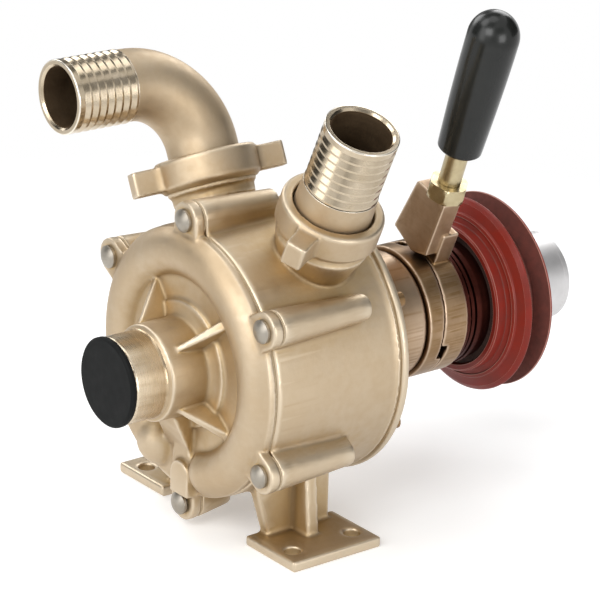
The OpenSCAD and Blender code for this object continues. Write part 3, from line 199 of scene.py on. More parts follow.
def ringCoords(tree, onShaft):
    # Radius and station of a point, round the shaft line or round a turned piece's own axis.
    if onShaft:
        parts = addNode(tree, "ShaderNodeSeparateXYZ", {0: objectCoords(tree)}).outputs
        above = maths(tree, "SUBTRACT", parts[2], shaftHeight * mm)
        across = addNode(tree, "ShaderNodeCombineXYZ", {0: parts[0], 1: above})
        along = parts[1]
    else:
        own = addNode(tree, "ShaderNodeAttribute", attribute_name="latheCoords").outputs["Vector"]
        parts = addNode(tree, "ShaderNodeSeparateXYZ", {0: own}).outputs
        across = addNode(tree, "ShaderNodeCombineXYZ", {0: parts[0], 1: parts[1]})
        along = parts[2]
    away = addNode(tree, "ShaderNodeVectorMath", {0: across.outputs[0]}, operation="LENGTH").outputs["Value"]
    return addNode(tree, "ShaderNodeCombineXYZ", {0: away, 1: along}).outputs[0]


def setWorld():
    world = bpy.data.worlds.new("studio")
    bpy.context.scene.world = world
    world.use_nodes = True
    tree = world.node_tree
    tree.nodes.clear()
    seen = shownRays(tree)
    strength = spread(tree, seen, 0, 1, worldSetup["diffuseLight"], worldSetup["shownWhite"])
    background = addNode(tree, "ShaderNodeBackground", {"Color": (1, 1, 1, 1), "Strength": strength})
    addNode(tree, "ShaderNodeOutputWorld", {"Surface": background.outputs[0]})


def shownRays(tree):
    # 1 for what the camera, the metal and glass see, 0 for the light that falls on a surface.
    rays = addNode(tree, "ShaderNodeLightPath").outputs
    both = maths(tree, "ADD", rays["Is Camera Ray"], rays["Is Glossy Ray"], clamp=True)
    return maths(tree, "ADD", both, rays["Is Transmission Ray"], clamp=True)


def setFloor():
    spec = floorSetup
    steps = 96
    ring = [(spec["radius"] * math.cos(a), spec["radius"] * math.sin(a), 0)
            for a in (2 * math.pi * i / steps for i in range(steps))]
    mesh = bpy.data.meshes.new("floor")
    mesh.from_pydata(ring, [], [range(steps)])
    floor = addObject("floor", mesh)
    material, tree, shader = newMaterial("paleFloor")
    shader.inputs["Base Color"].default_value = spec["colour"]
    shader.inputs["Roughness"].default_value = 0.9
    shader.inputs["Specular IOR Level"].default_value = 0.1
    # The shown floor is lifted a little, so that only the object's shadow is darker than the background.
    glow = addNode(tree, "ShaderNodeEmission", {"Color": (1, 1, 1, 1)})
    tree.links.new(maths(tree, "MULTIPLY", shownRays(tree), spec["lift"]), glow.inputs["Strength"])
    lit = addNode(tree, "ShaderNodeAddShader", {0: shader.outputs[0], 1: glow.outputs[0]})
    away = addNode(tree, "ShaderNodeVectorMath", {0: objectCoords(tree)}, operation="LENGTH").outputs["Value"]
    fade = spread(tree, away, spec["fadeFrom"], spec["fadeTo"])
    clear = addNode(tree, "ShaderNodeBsdfTransparent")
    mixed = addNode(tree, "ShaderNodeMixShader", {0: fade, 1: lit.outputs[0], 2: clear.outputs[0]})
    output = next(n for n in tree.nodes if n.type == "OUTPUT_MATERIAL")
    tree.links.new(mixed.outputs[0], output.inputs["Surface"])
    floor.data.materials.append(material)


def setCards():
    for name, (azimuth, elevation, size, brightness) in cardSetup.items():
        w, h = size[0] / 2, size[1] / 2
        mesh = bpy.data.meshes.new(name)
        mesh.from_pydata([(-w, -h, 0), (w, -h, 0), (w, h, 0), (-w, h, 0)], [], [(0, 1, 2, 3)])
        card = addObject(name, mesh, onDome(azimuth, elevation))
        material, tree, shader = newMaterial(name)
        shader.inputs["Base Color"].default_value = (0, 0, 0, 1)
        shader.inputs["Specular IOR Level"].default_value = 0.0
        shader.inputs["Emission Color"].default_value = (1, 1, 1, 1)
        shader.inputs["Emission Strength"].default_value = brightness
        card.data.materials.append(material)
        card.visible_camera = card.visible_diffuse = card.visible_shadow = False


setCamera()
setLamps()
setWorld()
setFloor()
setCards()
scene = bpy.context.scene
scene.view_settings.view_transform = "Standard"
print("studio set")


bronzeFinish = {
    "pale": (0.485, 0.39, 0.275, 1),
    "warm": (0.455, 0.345, 0.22, 1),
    # Light colour on convex edges: edge wear and a painted highlight.
    "wearAndHighlight": (0.66, 0.57, 0.44, 1),
    # Dark colour in creases: painted shade.
    "shadeTint": (0.18, 0.115, 0.055, 1),
    # Browner colour in recesses closed in by the piece's own body: painted shade.
    "recessShade": (0.45, 0.32, 0.155, 1),
    "broad": 22,  # scales of the slow and the fine change of colour
    "mottle": 170,
    "ragged": 0.05,  # how uneven the borders of wear and browning are
    "wearAndHighlightFrom": (0.10, 0.42),
    "creaseShadeFrom": (-0.12, -0.75),
    "recessShadeFrom": (0.08, 0.55),
    "roughness": (0.46, 0.58),
    "grain": 900,
    "grainHeight": 0.05 * mm,
    "wave": 130,
    "waveHeight": 0.22 * mm,
}


def castBronze(name="castBronze", spec=bronzeFinish):
    material, tree, shader = newMaterial(name)
    place = objectCoords(tree)
    broad = spread(tree, noise(tree, place, spec["broad"], 2), 0.35, 0.65)
    mottle = noise(tree, place, spec["mottle"], 4, 0.6)
    uneven = spread(tree, mottle, 0.3, 0.7, -spec["ragged"], spec["ragged"])
    colour = blendColour(tree, maths(tree, "MULTIPLY", broad, 0.75), spec["pale"], spec["warm"])
    colour = blendColour(tree, spread(tree, mottle, 0.42, 0.75, 0, 0.35), colour, spec["warm"])
    tone = maths(tree, "ADD", attributeValue(tree, "edgeTone"), uneven)
    shelter = maths(tree, "ADD", attributeValue(tree, "shelter"), uneven)
    # Convex edges: wear and a painted highlight.
    wearAndHighlight = spread(tree, tone, *spec["wearAndHighlightFrom"], 0, 0.6)
    # Creases: painted shade.
    creaseShade = spread(tree, tone, *spec["creaseShadeFrom"], 0, 0.8)
    # Recesses: painted shade, browner.
    recessShadeMask = spread(tree, shelter, *spec["recessShadeFrom"], 0, 0.9)
    colour = blendColour(tree, recessShadeMask, colour, spec["recessShade"])
    colour = blendColour(tree, creaseShade, colour, spec["shadeTint"])
    colour = blendColour(tree, wearAndHighlight, colour, spec["wearAndHighlight"])
    tree.links.new(colour, shader.inputs["Base Color"])
    low, high = spec["roughness"]
    rough = spread(tree, mottle, 0.3, 0.7, low, high)
    rough = maths(tree, "SUBTRACT", rough, maths(tree, "MULTIPLY", wearAndHighlight, 0.12))
    rough = maths(tree, "ADD", rough, maths(tree, "MULTIPLY", creaseShade, 0.15))
    tree.links.new(rough, shader.inputs["Roughness"])
    shader.inputs["Metallic"].default_value = 1.0
    grain = maths(tree, "MULTIPLY", noise(tree, place, spec["grain"], 3, 0.6), spec["grainHeight"])
    wave = maths(tree, "MULTIPLY", noise(tree, place, spec["wave"], 2), spec["waveHeight"])
    height = maths(tree, "ADD", grain, wave)
    bump = addNode(tree, "ShaderNodeBump", {"Height": height, "Strength": 0.6, "Distance": 1.0})
    tree.links.new(bump.outputs[0], shader.inputs["Normal"])
    return material


# Thresholds for the turned finishes: edge wear with a painted highlight, painted shade in creases and in
# recesses.
turnedWearAndShade = {"mottle": 120, "wearAndHighlightFrom": (0.06, 0.3), "creaseShadeFrom": (-0.08, -0.6), "recessShadeFrom": (0.15, 0.65)}
# Thresholds for the paint: a painted highlight on rim edges with some paint wear, painted shade in creases
# and in recesses.
paintWearAndShade = {"raggedScale": 380, "ragged": 0.015, "wearAndHighlightFrom": (0.055, 0.13), "creaseShadeFrom": (-0.1, -0.7),
             "recessShadeFrom": (0.25, 0.6)}


def turnedMetal(name, spec, onShaft=False):
    # Fine rings, as a lathe leaves them on sides and faces.
    material, tree, shader = newMaterial(name)
    place = objectCoords(tree)
    lines = noise(tree, ringCoords(tree, onShaft), spec["rings"], 2, 0.7)
    mottle = noise(tree, place, turnedWearAndShade["mottle"], 4, 0.6)
    colour = blendColour(tree, spread(tree, mottle, 0.35, 0.7), spec["colour"], spec["second"])
    # Convex edges get wear and a painted highlight; creases and recesses get painted shade in the darker
    # colour.
    tone = attributeValue(tree, "edgeTone")
    creaseShade = spread(tree, tone, *turnedWearAndShade["creaseShadeFrom"], 0, 0.8)
    recessShadeMask = spread(tree, attributeValue(tree, "shelter"), *turnedWearAndShade["recessShadeFrom"], 0, 0.8)
    wearAndHighlight = spread(tree, tone, *turnedWearAndShade["wearAndHighlightFrom"], 0, 0.7)
    colour = blendColour(tree, wearAndHighlight, colour, spec.get("wearAndHighlight", spec["colour"]))
    colour = blendColour(tree, maths(tree, "MAXIMUM", creaseShade, recessShadeMask), colour, spec["shadeTint"])
    tree.links.new(colour, shader.inputs["Base Color"])
    low, high = spec["roughness"]
    tree.links.new(spread(tree, lines, 0.3, 0.7, low, high), shader.inputs["Roughness"])
    shader.inputs["Metallic"].default_value = 1.0
    height = maths(tree, "MULTIPLY", lines, spec["ringHeight"])
    bump = addNode(tree, "ShaderNodeBump", {"Height": height, "Strength": 0.5, "Distance": 1.0})
    tree.links.new(bump.outputs[0], shader.inputs["Normal"])
    return material


def softFinish(name, spec):
    # Rubber, plastic, fibre and paint.
    material, tree, shader = newMaterial(name)
    place = objectCoords(tree)
    mottle = noise(tree, place, spec["mottle"], 4, 0.6)
    colour = blendColour(tree, spread(tree, mottle, 0.35, 0.7), spec["colour"], spec["second"])
    tone = attributeValue(tree, "edgeTone")
    # Rim edges: a painted highlight, partly paint wear.
    if "wearAndHighlight" in spec:
        ragged = paintWearAndShade["ragged"]
        uneven = spread(tree, noise(tree, place, paintWearAndShade["raggedScale"], 3), 0.3, 0.7, -ragged, ragged)
        wearAndHighlight = spread(tree, maths(tree, "ADD", tone, uneven), *paintWearAndShade["wearAndHighlightFrom"], 0, 0.8)
        colour = blendColour(tree, wearAndHighlight, colour, spec["wearAndHighlight"])
    # Creases and recesses: painted shade.
    if "shadeTint" in spec:
        inCorner = spread(tree, tone, *paintWearAndShade["creaseShadeFrom"], 0, 0.8)
        recessShade = spread(tree, attributeValue(tree, "shelter"), *paintWearAndShade["recessShadeFrom"], 0, 0.85)
        colour = blendColour(tree, maths(tree, "MAXIMUM", inCorner, recessShade), colour, spec["shadeTint"])
    tree.links.new(colour, shader.inputs["Base Color"])
    low, high = spec["roughness"]
    tree.links.new(spread(tree, mottle, 0.3, 0.7, low, high), shader.inputs["Roughness"])
    shader.inputs["Specular IOR Level"].default_value = spec.get("specular", 0.3)
    height = maths(tree, "MULTIPLY", noise(tree, place, spec["grain"], 3), spec["grainHeight"])
    bump = addNode(tree, "ShaderNodeBump", {"Height": height, "Strength": 0.5, "Distance": 1.0})
    tree.links.new(bump.outputs[0], shader.inputs["Normal"])
    return material


# In each turned finish the light edge colour is wear with a painted highlight, and the darkest colour is
# painted shade for creases and recesses.
turnedFinishes = {
    "machined_bronze": {
        "colour": (0.54, 0.455, 0.34, 1), "second": (0.45, 0.37, 0.26, 1), "shadeTint": (0.14, 0.09, 0.045, 1),
        "wearAndHighlight": (0.88, 0.83, 0.73, 1), "roughness": (0.14, 0.26), "rings": 2600, "ringHeight": 0.02 * mm},
    "hubBronze": {
        "colour": (0.58, 0.465, 0.32, 1), "second": (0.50, 0.385, 0.245, 1), "shadeTint": (0.16, 0.10, 0.05, 1),
        "wearAndHighlight": (0.68, 0.59, 0.46, 1), "roughness": (0.24, 0.34), "rings": 1500, "ringHeight": 0.012 * mm},
    # A darkened copy of the bronze: painted shade for the cam rings, the bracket's turned hub and its screws,
    # in the casing's and the lever's shadow.
    "shadedBronze": {
        "colour": (0.285, 0.18, 0.09, 1), "second": (0.225, 0.135, 0.062, 1), "shadeTint": (0.09, 0.045, 0.02, 1),
        "wearAndHighlight": (0.62, 0.48, 0.36, 1), "roughness": (0.32, 0.44), "rings": 1500, "ringHeight": 0.01 * mm},
    # A darkened copy of the bronze for the lever arm: painted shade.
    "shadedArmBronze": {
        "colour": (0.35, 0.235, 0.145, 1), "second": (0.27, 0.175, 0.10, 1), "shadeTint": (0.10, 0.055, 0.028, 1),
        "wearAndHighlight": (0.66, 0.53, 0.40, 1), "roughness": (0.36, 0.5), "rings": 700, "ringHeight": 0.03 * mm},
    # Dark bronze inside the tails' bores: painted shade.
    "boreShadeBronze": {
        "colour": (0.21, 0.145, 0.085, 1), "second": (0.15, 0.10, 0.058, 1), "shadeTint": (0.03, 0.02, 0.012, 1),
        "roughness": (0.5, 0.65), "rings": 900, "ringHeight": 0.03 * mm},
    # Near-black maroon for the parts in the gap inside the pulley's drum: painted shade.
    "drumShadeSteel": {
        "colour": (0.075, 0.02, 0.014, 1), "second": (0.045, 0.012, 0.009, 1),
        "shadeTint": (0.02, 0.008, 0.007, 1), "roughness": (0.34, 0.5), "rings": 2600, "ringHeight": 0.01 * mm},
    "boltSteel": {
        "colour": (0.34, 0.31, 0.265, 1), "second": (0.26, 0.23, 0.185, 1), "shadeTint": (0.14, 0.11, 0.08, 1),
        "roughness": (0.36, 0.5), "rings": 1200, "ringHeight": 0.015 * mm},
    "stainless": {
        "colour": (0.60, 0.59, 0.57, 1), "second": (0.50, 0.49, 0.47, 1), "shadeTint": (0.16, 0.14, 0.12, 1),
        "roughness": (0.26, 0.40), "rings": 2200, "ringHeight": 0.015 * mm},
    "bearing_steel": {
        "colour": (0.62, 0.62, 0.63, 1), "second": (0.54, 0.54, 0.56, 1), "shadeTint": (0.15, 0.14, 0.13, 1),
        "roughness": (0.12, 0.22), "rings": 3000, "ringHeight": 0.008 * mm},
    "yellow_zinc": {
        "colour": (0.50, 0.425, 0.265, 1), "second": (0.40, 0.32, 0.19, 1), "shadeTint": (0.20, 0.14, 0.06, 1),
        "roughness": (0.26, 0.38), "rings": 2400, "ringHeight": 0.015 * mm},
    "bare_aluminium": {
        "colour": (0.66, 0.65, 0.65, 1), "second": (0.60, 0.59, 0.59, 1), "shadeTint": (0.25, 0.25, 0.25, 1),
        "roughness": (0.40, 0.52), "rings": 2000, "ringHeight": 0.02 * mm},
}

softFinishes = {
    "grip_plastic": {
        "colour": (0.010, 0.011, 0.010, 1), "second": (0.014, 0.015, 0.014, 1), "roughness": (0.16, 0.26),
        "mottle": 60, "specular": 0.34, "grain": 500, "grainHeight": 0.01 * mm},
    "black_rubber": {
        "colour": (0.006, 0.0065, 0.0065, 1), "second": (0.010, 0.0105, 0.0105, 1), "roughness": (0.5, 0.7),
        "mottle": 200, "specular": 0.10, "grain": 1500, "grainHeight": 0.03 * mm},
    "gasket_fibre": {
        "colour": (0.50, 0.40, 0.27, 1), "second": (0.40, 0.31, 0.20, 1), "roughness": (0.8, 0.95),
        "mottle": 900, "grain": 1400, "grainHeight": 0.04 * mm},
    "lining_fibre": {
        "colour": (0.055, 0.03, 0.024, 1), "second": (0.035, 0.02, 0.017, 1), "roughness": (0.8, 0.95),
        "mottle": 700, "grain": 1200, "grainHeight": 0.05 * mm},
    "white_seat": {
        "colour": (0.82, 0.81, 0.77, 1), "second": (0.76, 0.75, 0.71, 1), "roughness": (0.2, 0.3),
        "mottle": 150, "grain": 900, "grainHeight": 0.01 * mm},
    # Darker red-brown for the belt groove: painted shade.
    "grooveShadePaint": {
        "colour": (0.155, 0.044, 0.034, 1), "second": (0.105, 0.036, 0.028, 1), "roughness": (0.5, 0.7),
        "mottle": 240, "specular": 0.2, "grain": 700, "grainHeight": 0.05 * mm},
    # Its pale edge colour is a painted highlight on the rims, partly paint wear; its dark colour is painted
    # shade in the groove and the drum.
    "red_paint": {
        "colour": (0.24, 0.020, 0.011, 1), "second": (0.185, 0.024, 0.016, 1), "wearAndHighlight": (0.56, 0.30, 0.24, 1),
        "shadeTint": (0.105, 0.045, 0.034, 1), "roughness": (0.32, 0.46), "mottle": 90, "specular": 0.26,
        "grain": 420, "grainHeight": 0.06 * mm},
}

finishes = {"cast_bronze": castBronze()}
shaftFinishes = {}
for slotName, spec in turnedFinishes.items():
    finishes[slotName] = turnedMetal(slotName, spec)  # rings round the piece's own axis
    shaftFinishes[slotName] = turnedMetal(slotName + "OnShaft", spec, True)
for slotName, spec in softFinishes.items():
    finishes[slotName] = softFinish(slotName, spec)
print("materials made:", len(finishes))


def dress(piece, body, slotName, replaced=(), material=None):
    piece.data.materials.clear()
    piece.data.materials.append(material or finishes[slotName])
    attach(piece, body)
    if replaced:
        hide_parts(*replaced)
    return piece


def alongShaft(y):
    # Local Z runs back along the shaft line, local X stays level.
    matrix = Matrix(((1, 0, 0), (0, 0, 1), (0, -1, 0))).to_4x4()
    matrix.translation = (0, y * mm, shaftHeight * mm)
    return matrix


def roundShaft(y, circle, clock):
    # The same, moved out to a clock angle on a circle round the shaft line.
    angle = math.radians(clock)
    matrix = alongShaft(y)
    matrix.translation += Vector((math.cos(angle), 0, math.sin(angle))) * circle * mm
    return matrix


portPlaces = {-1: (0.8, 0.0), 1: (11.8, 9.0)}  # side: station along the shaft, step beside it
portTilt = 25


def alongPort(side):
    # Local Z runs out of a port; its origin is on the shaft line.
    y, aside = portPlaces[side]
    lean = Matrix.Rotation(math.radians(portTilt) * side, 4, "Y") @ Matrix.Translation((aside * mm, 0, 0))
    return Matrix.Translation((0, y * mm, shaftHeight * mm)) @ lean


rodPlace = {"station": 102.82, "lean": 19, "aside": 4}


def alongRod(h=0):
    # Local Z runs up the lever rod.
    s = rodPlace
    lean = Matrix.Rotation(math.radians(s["lean"]), 4, "Y")
    start = Matrix.Translation((0, s["station"] * mm, shaftHeight * mm))
    return start @ lean @ Matrix.Translation((s["aside"] * mm, 0, h * mm))


arcShape = {"steps": 4, "support": 1.2, "mostOfEdge": 0.4, "flatFrom": math.radians(172)}


def rounded(profile, radius, closed=False):
    # Each corner of an (r, z) profile becomes a small arc, with a support ring on both sides of it.
    s = arcShape
    points = [np.array(p[:2], float) for p in profile]
    radii = [p[2] if len(p) > 2 else radius for p in profile]
    count = len(points)
    made = []
    for i in range(count):
        corner = points[i]
        if not closed and i in (0, count - 1):
            made.append(corner)
            continue
        a, b = points[i - 1] - corner, points[(i + 1) % count] - corner
        lengthA, lengthB = np.linalg.norm(a), np.linalg.norm(b)
        a, b = a / lengthA, b / lengthB
        angle = math.acos(max(-1, min(1, a.dot(b))))
        if radii[i] <= 0 or angle > s["flatFrom"]:
            made.append(corner)
            continue
        cut = min(radii[i] / math.tan(angle / 2), s["mostOfEdge"] * lengthA, s["mostOfEdge"] * lengthB)
        made.append(corner + a * cut * s["support"])
        for t in np.linspace(0, 1, s["steps"] + 1):
            first, last = corner + a * cut, corner + b * cut
            made.append((1 - t) ** 2 * first + 2 * t * (1 - t) * corner + t * t * last)
        made.append(corner + b * cut * s["support"])
    return made


def profileTone(points, closed):
    # How far each ring stands out of, or lies below, the rings around it, in millimetres.
    tone = []
    count = len(points)
    for i in range(count):
        near = []
        for step in (-4, -3, -2, -1, 1, 2, 3, 4):
            j = (i + step) % count if closed else min(count - 1, max(0, i + step))
            near.append(points[j])
        middle = sum(near) / len(near)
        ahead = points[(i + 1) % count if closed else min(count - 1, i + 1)]
        behind = points[i - 1 if closed else max(0, i - 1)]
        along = ahead - behind
        size = np.linalg.norm(along) or 1
        outward = np.array((along[1], -along[0])) / size
        sides = sorted(np.linalg.norm(p - points[i]) for p in (ahead, behind))
        besideFlat = sides[1] > 4 * sides[0] > 0  # the support ring of a long plain stretch
        tone.append(0.0 if besideFlat else float((points[i] - middle).dot(outward)))
    return tone


def turnedMesh(name, profile, place, closed=False, segments=96, path=None, shape=None):
    # profile runs so that the material lies to its left: (r, z) in millimetres.
    points = np.array(profile)
    angles = np.arange(segments) * 2 * math.pi / segments
    verts, faces, rings, tones, own = [], [], [], [], []
    tone = profileTone(list(points), closed)
    for (r, z), t in zip(points, tone):
        first = len(verts)
        count = 1 if r < 1e-6 else segments
        for angle in angles[:count]:
            radius = shape(angle, r, z) if shape and r > 1e-6 else r
            x, y = radius * math.cos(angle), radius * math.sin(angle)
            verts.append(path(x, y, z) if path else (x, y, z))
            own += (x * mm, y * mm, z * mm)
            tones.append(t)
        rings.append((first, count))
    pairs = list(zip(rings, rings[1:])) + ([(rings[-1], rings[0])] if closed else [])
    for (a, countA), (b, countB) in pairs:
        for i in range(segments):
            j = (i + 1) % segments
            quad = [a + (i if countA > 1 else 0), a + (j if countA > 1 else 0),
                    b + (j if countB > 1 else 0), b + (i if countB > 1 else 0)]
            corners = list(dict.fromkeys(quad))
            if len(corners) > 2:
                faces.append(corners)
    mesh = bpy.data.meshes.new(name)
    mesh.from_pydata([tuple(c * mm for c in v) for v in verts], [], faces)
    mesh.attributes.new("edgeTone", "FLOAT", "POINT").data.foreach_set("value", tones)
    mesh.attributes.new("latheCoords", "FLOAT_VECTOR", "POINT").data.foreach_set("vector", own)
    mesh.transform(place)
    mesh.shade_smooth()
    return addObject(name, mesh)


def turnedPiece(name, spec, place, **options):
    closed = spec.get("closed", False)
    profile = rounded(spec["profile"], spec.get("edge", 0.4), closed)
    return turnedMesh(name, profile, place, closed, spec.get("segments", 96), **options)


def meshArrays(mesh):
    points = np.empty(len(mesh.vertices) * 3)
    mesh.vertices.foreach_get("co", points)
    edges = np.empty(len(mesh.edges) * 2, np.int64)
    mesh.edges.foreach_get("vertices", edges)
    return points.reshape(-1, 3), edges.reshape(-1, 2)


def neighbourMean(points, edges, degree):
    total = np.empty_like(points)
    for k in range(3):
        total[:, k] = (np.bincount(edges[:, 0], points[edges[:, 1], k], len(points))
                       + np.bincount(edges[:, 1], points[edges[:, 0], k], len(points)))
    return total / degree[:, None]


def vertexNormals(points, quads):
    corner = points[quads]
    face = np.cross(corner[:, 2] - corner[:, 0], corner[:, 3] - corner[:, 1])
    normals = np.zeros_like(points)
    for i in range(4):
        for k in range(3):
            normals[:, k] += np.bincount(quads[:, i], face[:, k], len(points))
    return normals / np.maximum(np.linalg.norm(normals, axis=1), 1e-20)[:, None]


shelterSetup = {"reach": 55, "rays": 16, "start": 1.0}


def solidTree(*bodies):
    # The CAD solids of these bodies, as something that rays can hit.
    points, faces = [], []
    for nodeName in [n for body in bodies for n in frame["record"]["behaviour"]["bodies"][body]]:
        mesh = frame["nodes"][nodeName].data
        first = len(points)
        points += [v.co for v in mesh.vertices]
        faces += [[first + i for i in p.vertices] for p in mesh.polygons]
    return BVHTree.FromPolygons(points, faces)


def addShelter(piece, tree):
    # How much of what a point faces is its own body close by: 0 in the open, 1 deep inside. The finishes
    # paint shade into a surface from it.
    s = shelterSetup
    reach = s["reach"] * mm
    steps = np.arange(s["rays"]) + 0.5
    height = np.sqrt(1 - steps / s["rays"])
    turn = steps * math.pi * (3 - math.sqrt(5))
    flat = np.sqrt(1 - height ** 2)
    fan = np.column_stack((flat * np.cos(turn), flat * np.sin(turn), height)).tolist()
    fan = [Vector(d) for d in fan]
    found = []
    for vertex in piece.data.vertices:
        facing = vertex.normal.to_track_quat("Z", "X").to_matrix()
        origin = vertex.co + vertex.normal * s["start"] * mm
        total = 0.0
        for ray in fan:
            distance = tree.ray_cast(origin, facing @ ray, reach)[3]
            if distance is not None:
                total += 1 - distance / reach
        found.append(total / s["rays"])
    piece.data.attributes.new("shelter", "FLOAT", "POINT").data.foreach_set("value", found)


smoothing = {"weld": 0.002, "normalsEvery": 4, "evenPasses": 2, "evenRate": 0.35,
             "tonePasses": 22, "toneRate": 0.6}


def castPiece(name, spec):
    # A casting's form: remeshed, hollows filled to fillets, edges softened, then thinned out.
    work = addObject(name + "Work", frame["nodes"][spec["node"]].data.copy())
    if "shape" in spec:
        points = meshArrays(work.data)[0]
        work.data.vertices.foreach_set("co", (spec["shape"](points / mm) * mm).ravel())
    for points, faces in spec.get("extras", []):
        joined = bmesh.new()
        joined.from_mesh(work.data)
        made = [joined.verts.new([c * mm for c in p]) for p in points]
        for face in faces:
            joined.faces.new([made[i] for i in face])
        joined.to_mesh(work.data)
        joined.free()
    weld = work.modifiers.new("weld", "WELD")
    weld.merge_threshold = smoothing["weld"] * mm
    remesh = work.modifiers.new("remesh", "REMESH")
    remesh.mode, remesh.voxel_size = "VOXEL", spec["voxel"] * mm
    fine = bpy.data.meshes.new_from_object(work.evaluated_get(bpy.context.evaluated_depsgraph_get()))
    bpy.data.objects.remove(work)
    points, edges = meshArrays(fine)
    quads = np.empty(len(fine.loops), np.int64)
    fine.loops.foreach_get("vertex_index", quads)
    quads = quads.reshape(-1, 4)
    degree = np.bincount(edges.ravel(), minlength=len(points)).astype(float)
    normals = vertexNormals(points, quads)
    for step in range(spec["passes"]):
        if (step + 1) % smoothing["normalsEvery"] == 0:
            normals = vertexNormals(points, quads)
        move = neighbourMean(points, edges, degree) - points
        hollow = (move * normals).sum(1) > 0
        rate = np.where(hollow, spec["fill"], spec["soften"])
        points = points + move * rate[:, None]
    for step in range(smoothing["evenPasses"]):
        points = points + smoothing["evenRate"] * (neighbourMean(points, edges, degree) - points)
    normals = vertexNormals(points, quads)
    broad = points
    for step in range(smoothing["tonePasses"]):
        broad = broad + smoothing["toneRate"] * (neighbourMean(broad, edges, degree) - broad)
    tone = ((points - broad) * normals).sum(1) / mm
    fine.vertices.foreach_set("co", points.ravel())
    fine.update()
    piece = addObject(name, fine)
    thin = piece.modifiers.new("thin", "DECIMATE")
    thin.ratio = min(1, spec["triangles"] / (2 * len(quads)))
    final = bpy.data.meshes.new_from_object(piece.evaluated_get(bpy.context.evaluated_depsgraph_get()))
    piece.modifiers.clear()
    piece.data = final
    tree = KDTree(len(points))
    for i, p in enumerate(points.tolist()):
        tree.insert(p, i)
    tree.balance()
    nearest = np.array([tree.find(v.co)[1] for v in final.vertices])
    final.attributes.new("edgeTone", "FLOAT", "POINT").data.foreach_set("value", tone[nearest])
    final.shade_smooth()
    final.normals_split_custom_set_from_vertices(normals[nearest].tolist())
    print(name, len(points), "points thinned to", len(final.polygons), "triangles")
    return piece


fingerShape = {"centre": 2.4, "halfWidth": 7.4, "top": 31.5, "bottom": 20, "front": -45.6, "back": -40,
               "steps": 12}


def fingerSolid(s=fingerShape):
    # The raised finger between the side channel's ends: a plate with a round top.
    arc = [math.pi * i / s["steps"] for i in range(s["steps"] + 1)]
    middle, half = s["centre"], s["halfWidth"]
    outline = [(middle + half * math.cos(a), s["top"] + half * math.sin(a)) for a in arc]
    outline += [(middle - half, s["bottom"]), (middle + half, s["bottom"])]
    count = len(outline)
    points = [(x, y, z) for y in (s["front"], s["back"]) for x, z in outline]
    sides = [(i, (i + 1) % count, count + (i + 1) % count, count + i) for i in range(count)]
    return points, [tuple(reversed(range(count))), tuple(range(count, 2 * count))] + sides


ribShape = {"angles": (43, 126, 207, -37), "half": 2.5, "crest": ((18.6, -64.5), (47.5, -40.0)),
            "floor": -41.3, "footShare": 1.1, "crestShare": 0.5, "within": 0.02}


def draftRibs(points):
    # The cover's ribs get draft: a little wider at the foot, narrow at the crest.
    s = ribShape
    (r0, y0), (r1, y1) = s["crest"]
    for angle in np.radians(s["angles"]):
        across, ahead, up = points[:, 0], points[:, 1], points[:, 2] - shaftHeight
        out = across * math.cos(angle) + up * math.sin(angle)
        side = -across * math.sin(angle) + up * math.cos(angle)
        crest = y0 + (out - r0) * (y1 - y0) / (r1 - r0)
        rise = np.clip((ahead - s["floor"]) / np.minimum(crest - s["floor"], -0.5), 0, 1)
        onSide = np.abs(np.abs(side) - s["half"]) < s["within"]
        onRib = onSide & (out > r0) & (out < r1 + 1) & (ahead < s["floor"])
        shift = side * (s["footShare"] + (s["crestShare"] - s["footShare"]) * rise - 1) * onRib
        points[:, 0] -= shift * math.sin(angle)
        points[:, 2] += shift * math.cos(angle)
    return points


channelEnd = {"circle": 57.5, "clock": 243, "station": -35.4, "radius": 13.6, "rings": 16, "sides": 32}


def ballSolid(s=channelEnd):
    # The round end of the side channel, left of the pad.
    clock = math.radians(s["clock"])
    centre = (s["circle"] * math.cos(clock), s["station"], shaftHeight + s["circle"] * math.sin(clock))
    points, faces = [], []
    for i in range(1, s["rings"]):
        tilt = math.pi * i / s["rings"]
        for j in range(s["sides"]):
            turn = 2 * math.pi * j / s["sides"]
            away = (math.sin(tilt) * math.cos(turn), math.sin(tilt) * math.sin(turn), math.cos(tilt))
            points.append([c + s["radius"] * a for c, a in zip(centre, away)])
    count = s["sides"]
    for i in range(s["rings"] - 2):
        low, high = i * count, (i + 1) * count
        faces += [(low + j, high + j, high + (j + 1) % count, low + (j + 1) % count) for j in range(count)]
    last = (s["rings"] - 2) * count
    return points, faces + [tuple(range(count)), tuple(reversed(range(last, last + count)))]


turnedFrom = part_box("fixed_cam_ring")[0].y / mm - 26  # the back part of the bracket's hub is turned

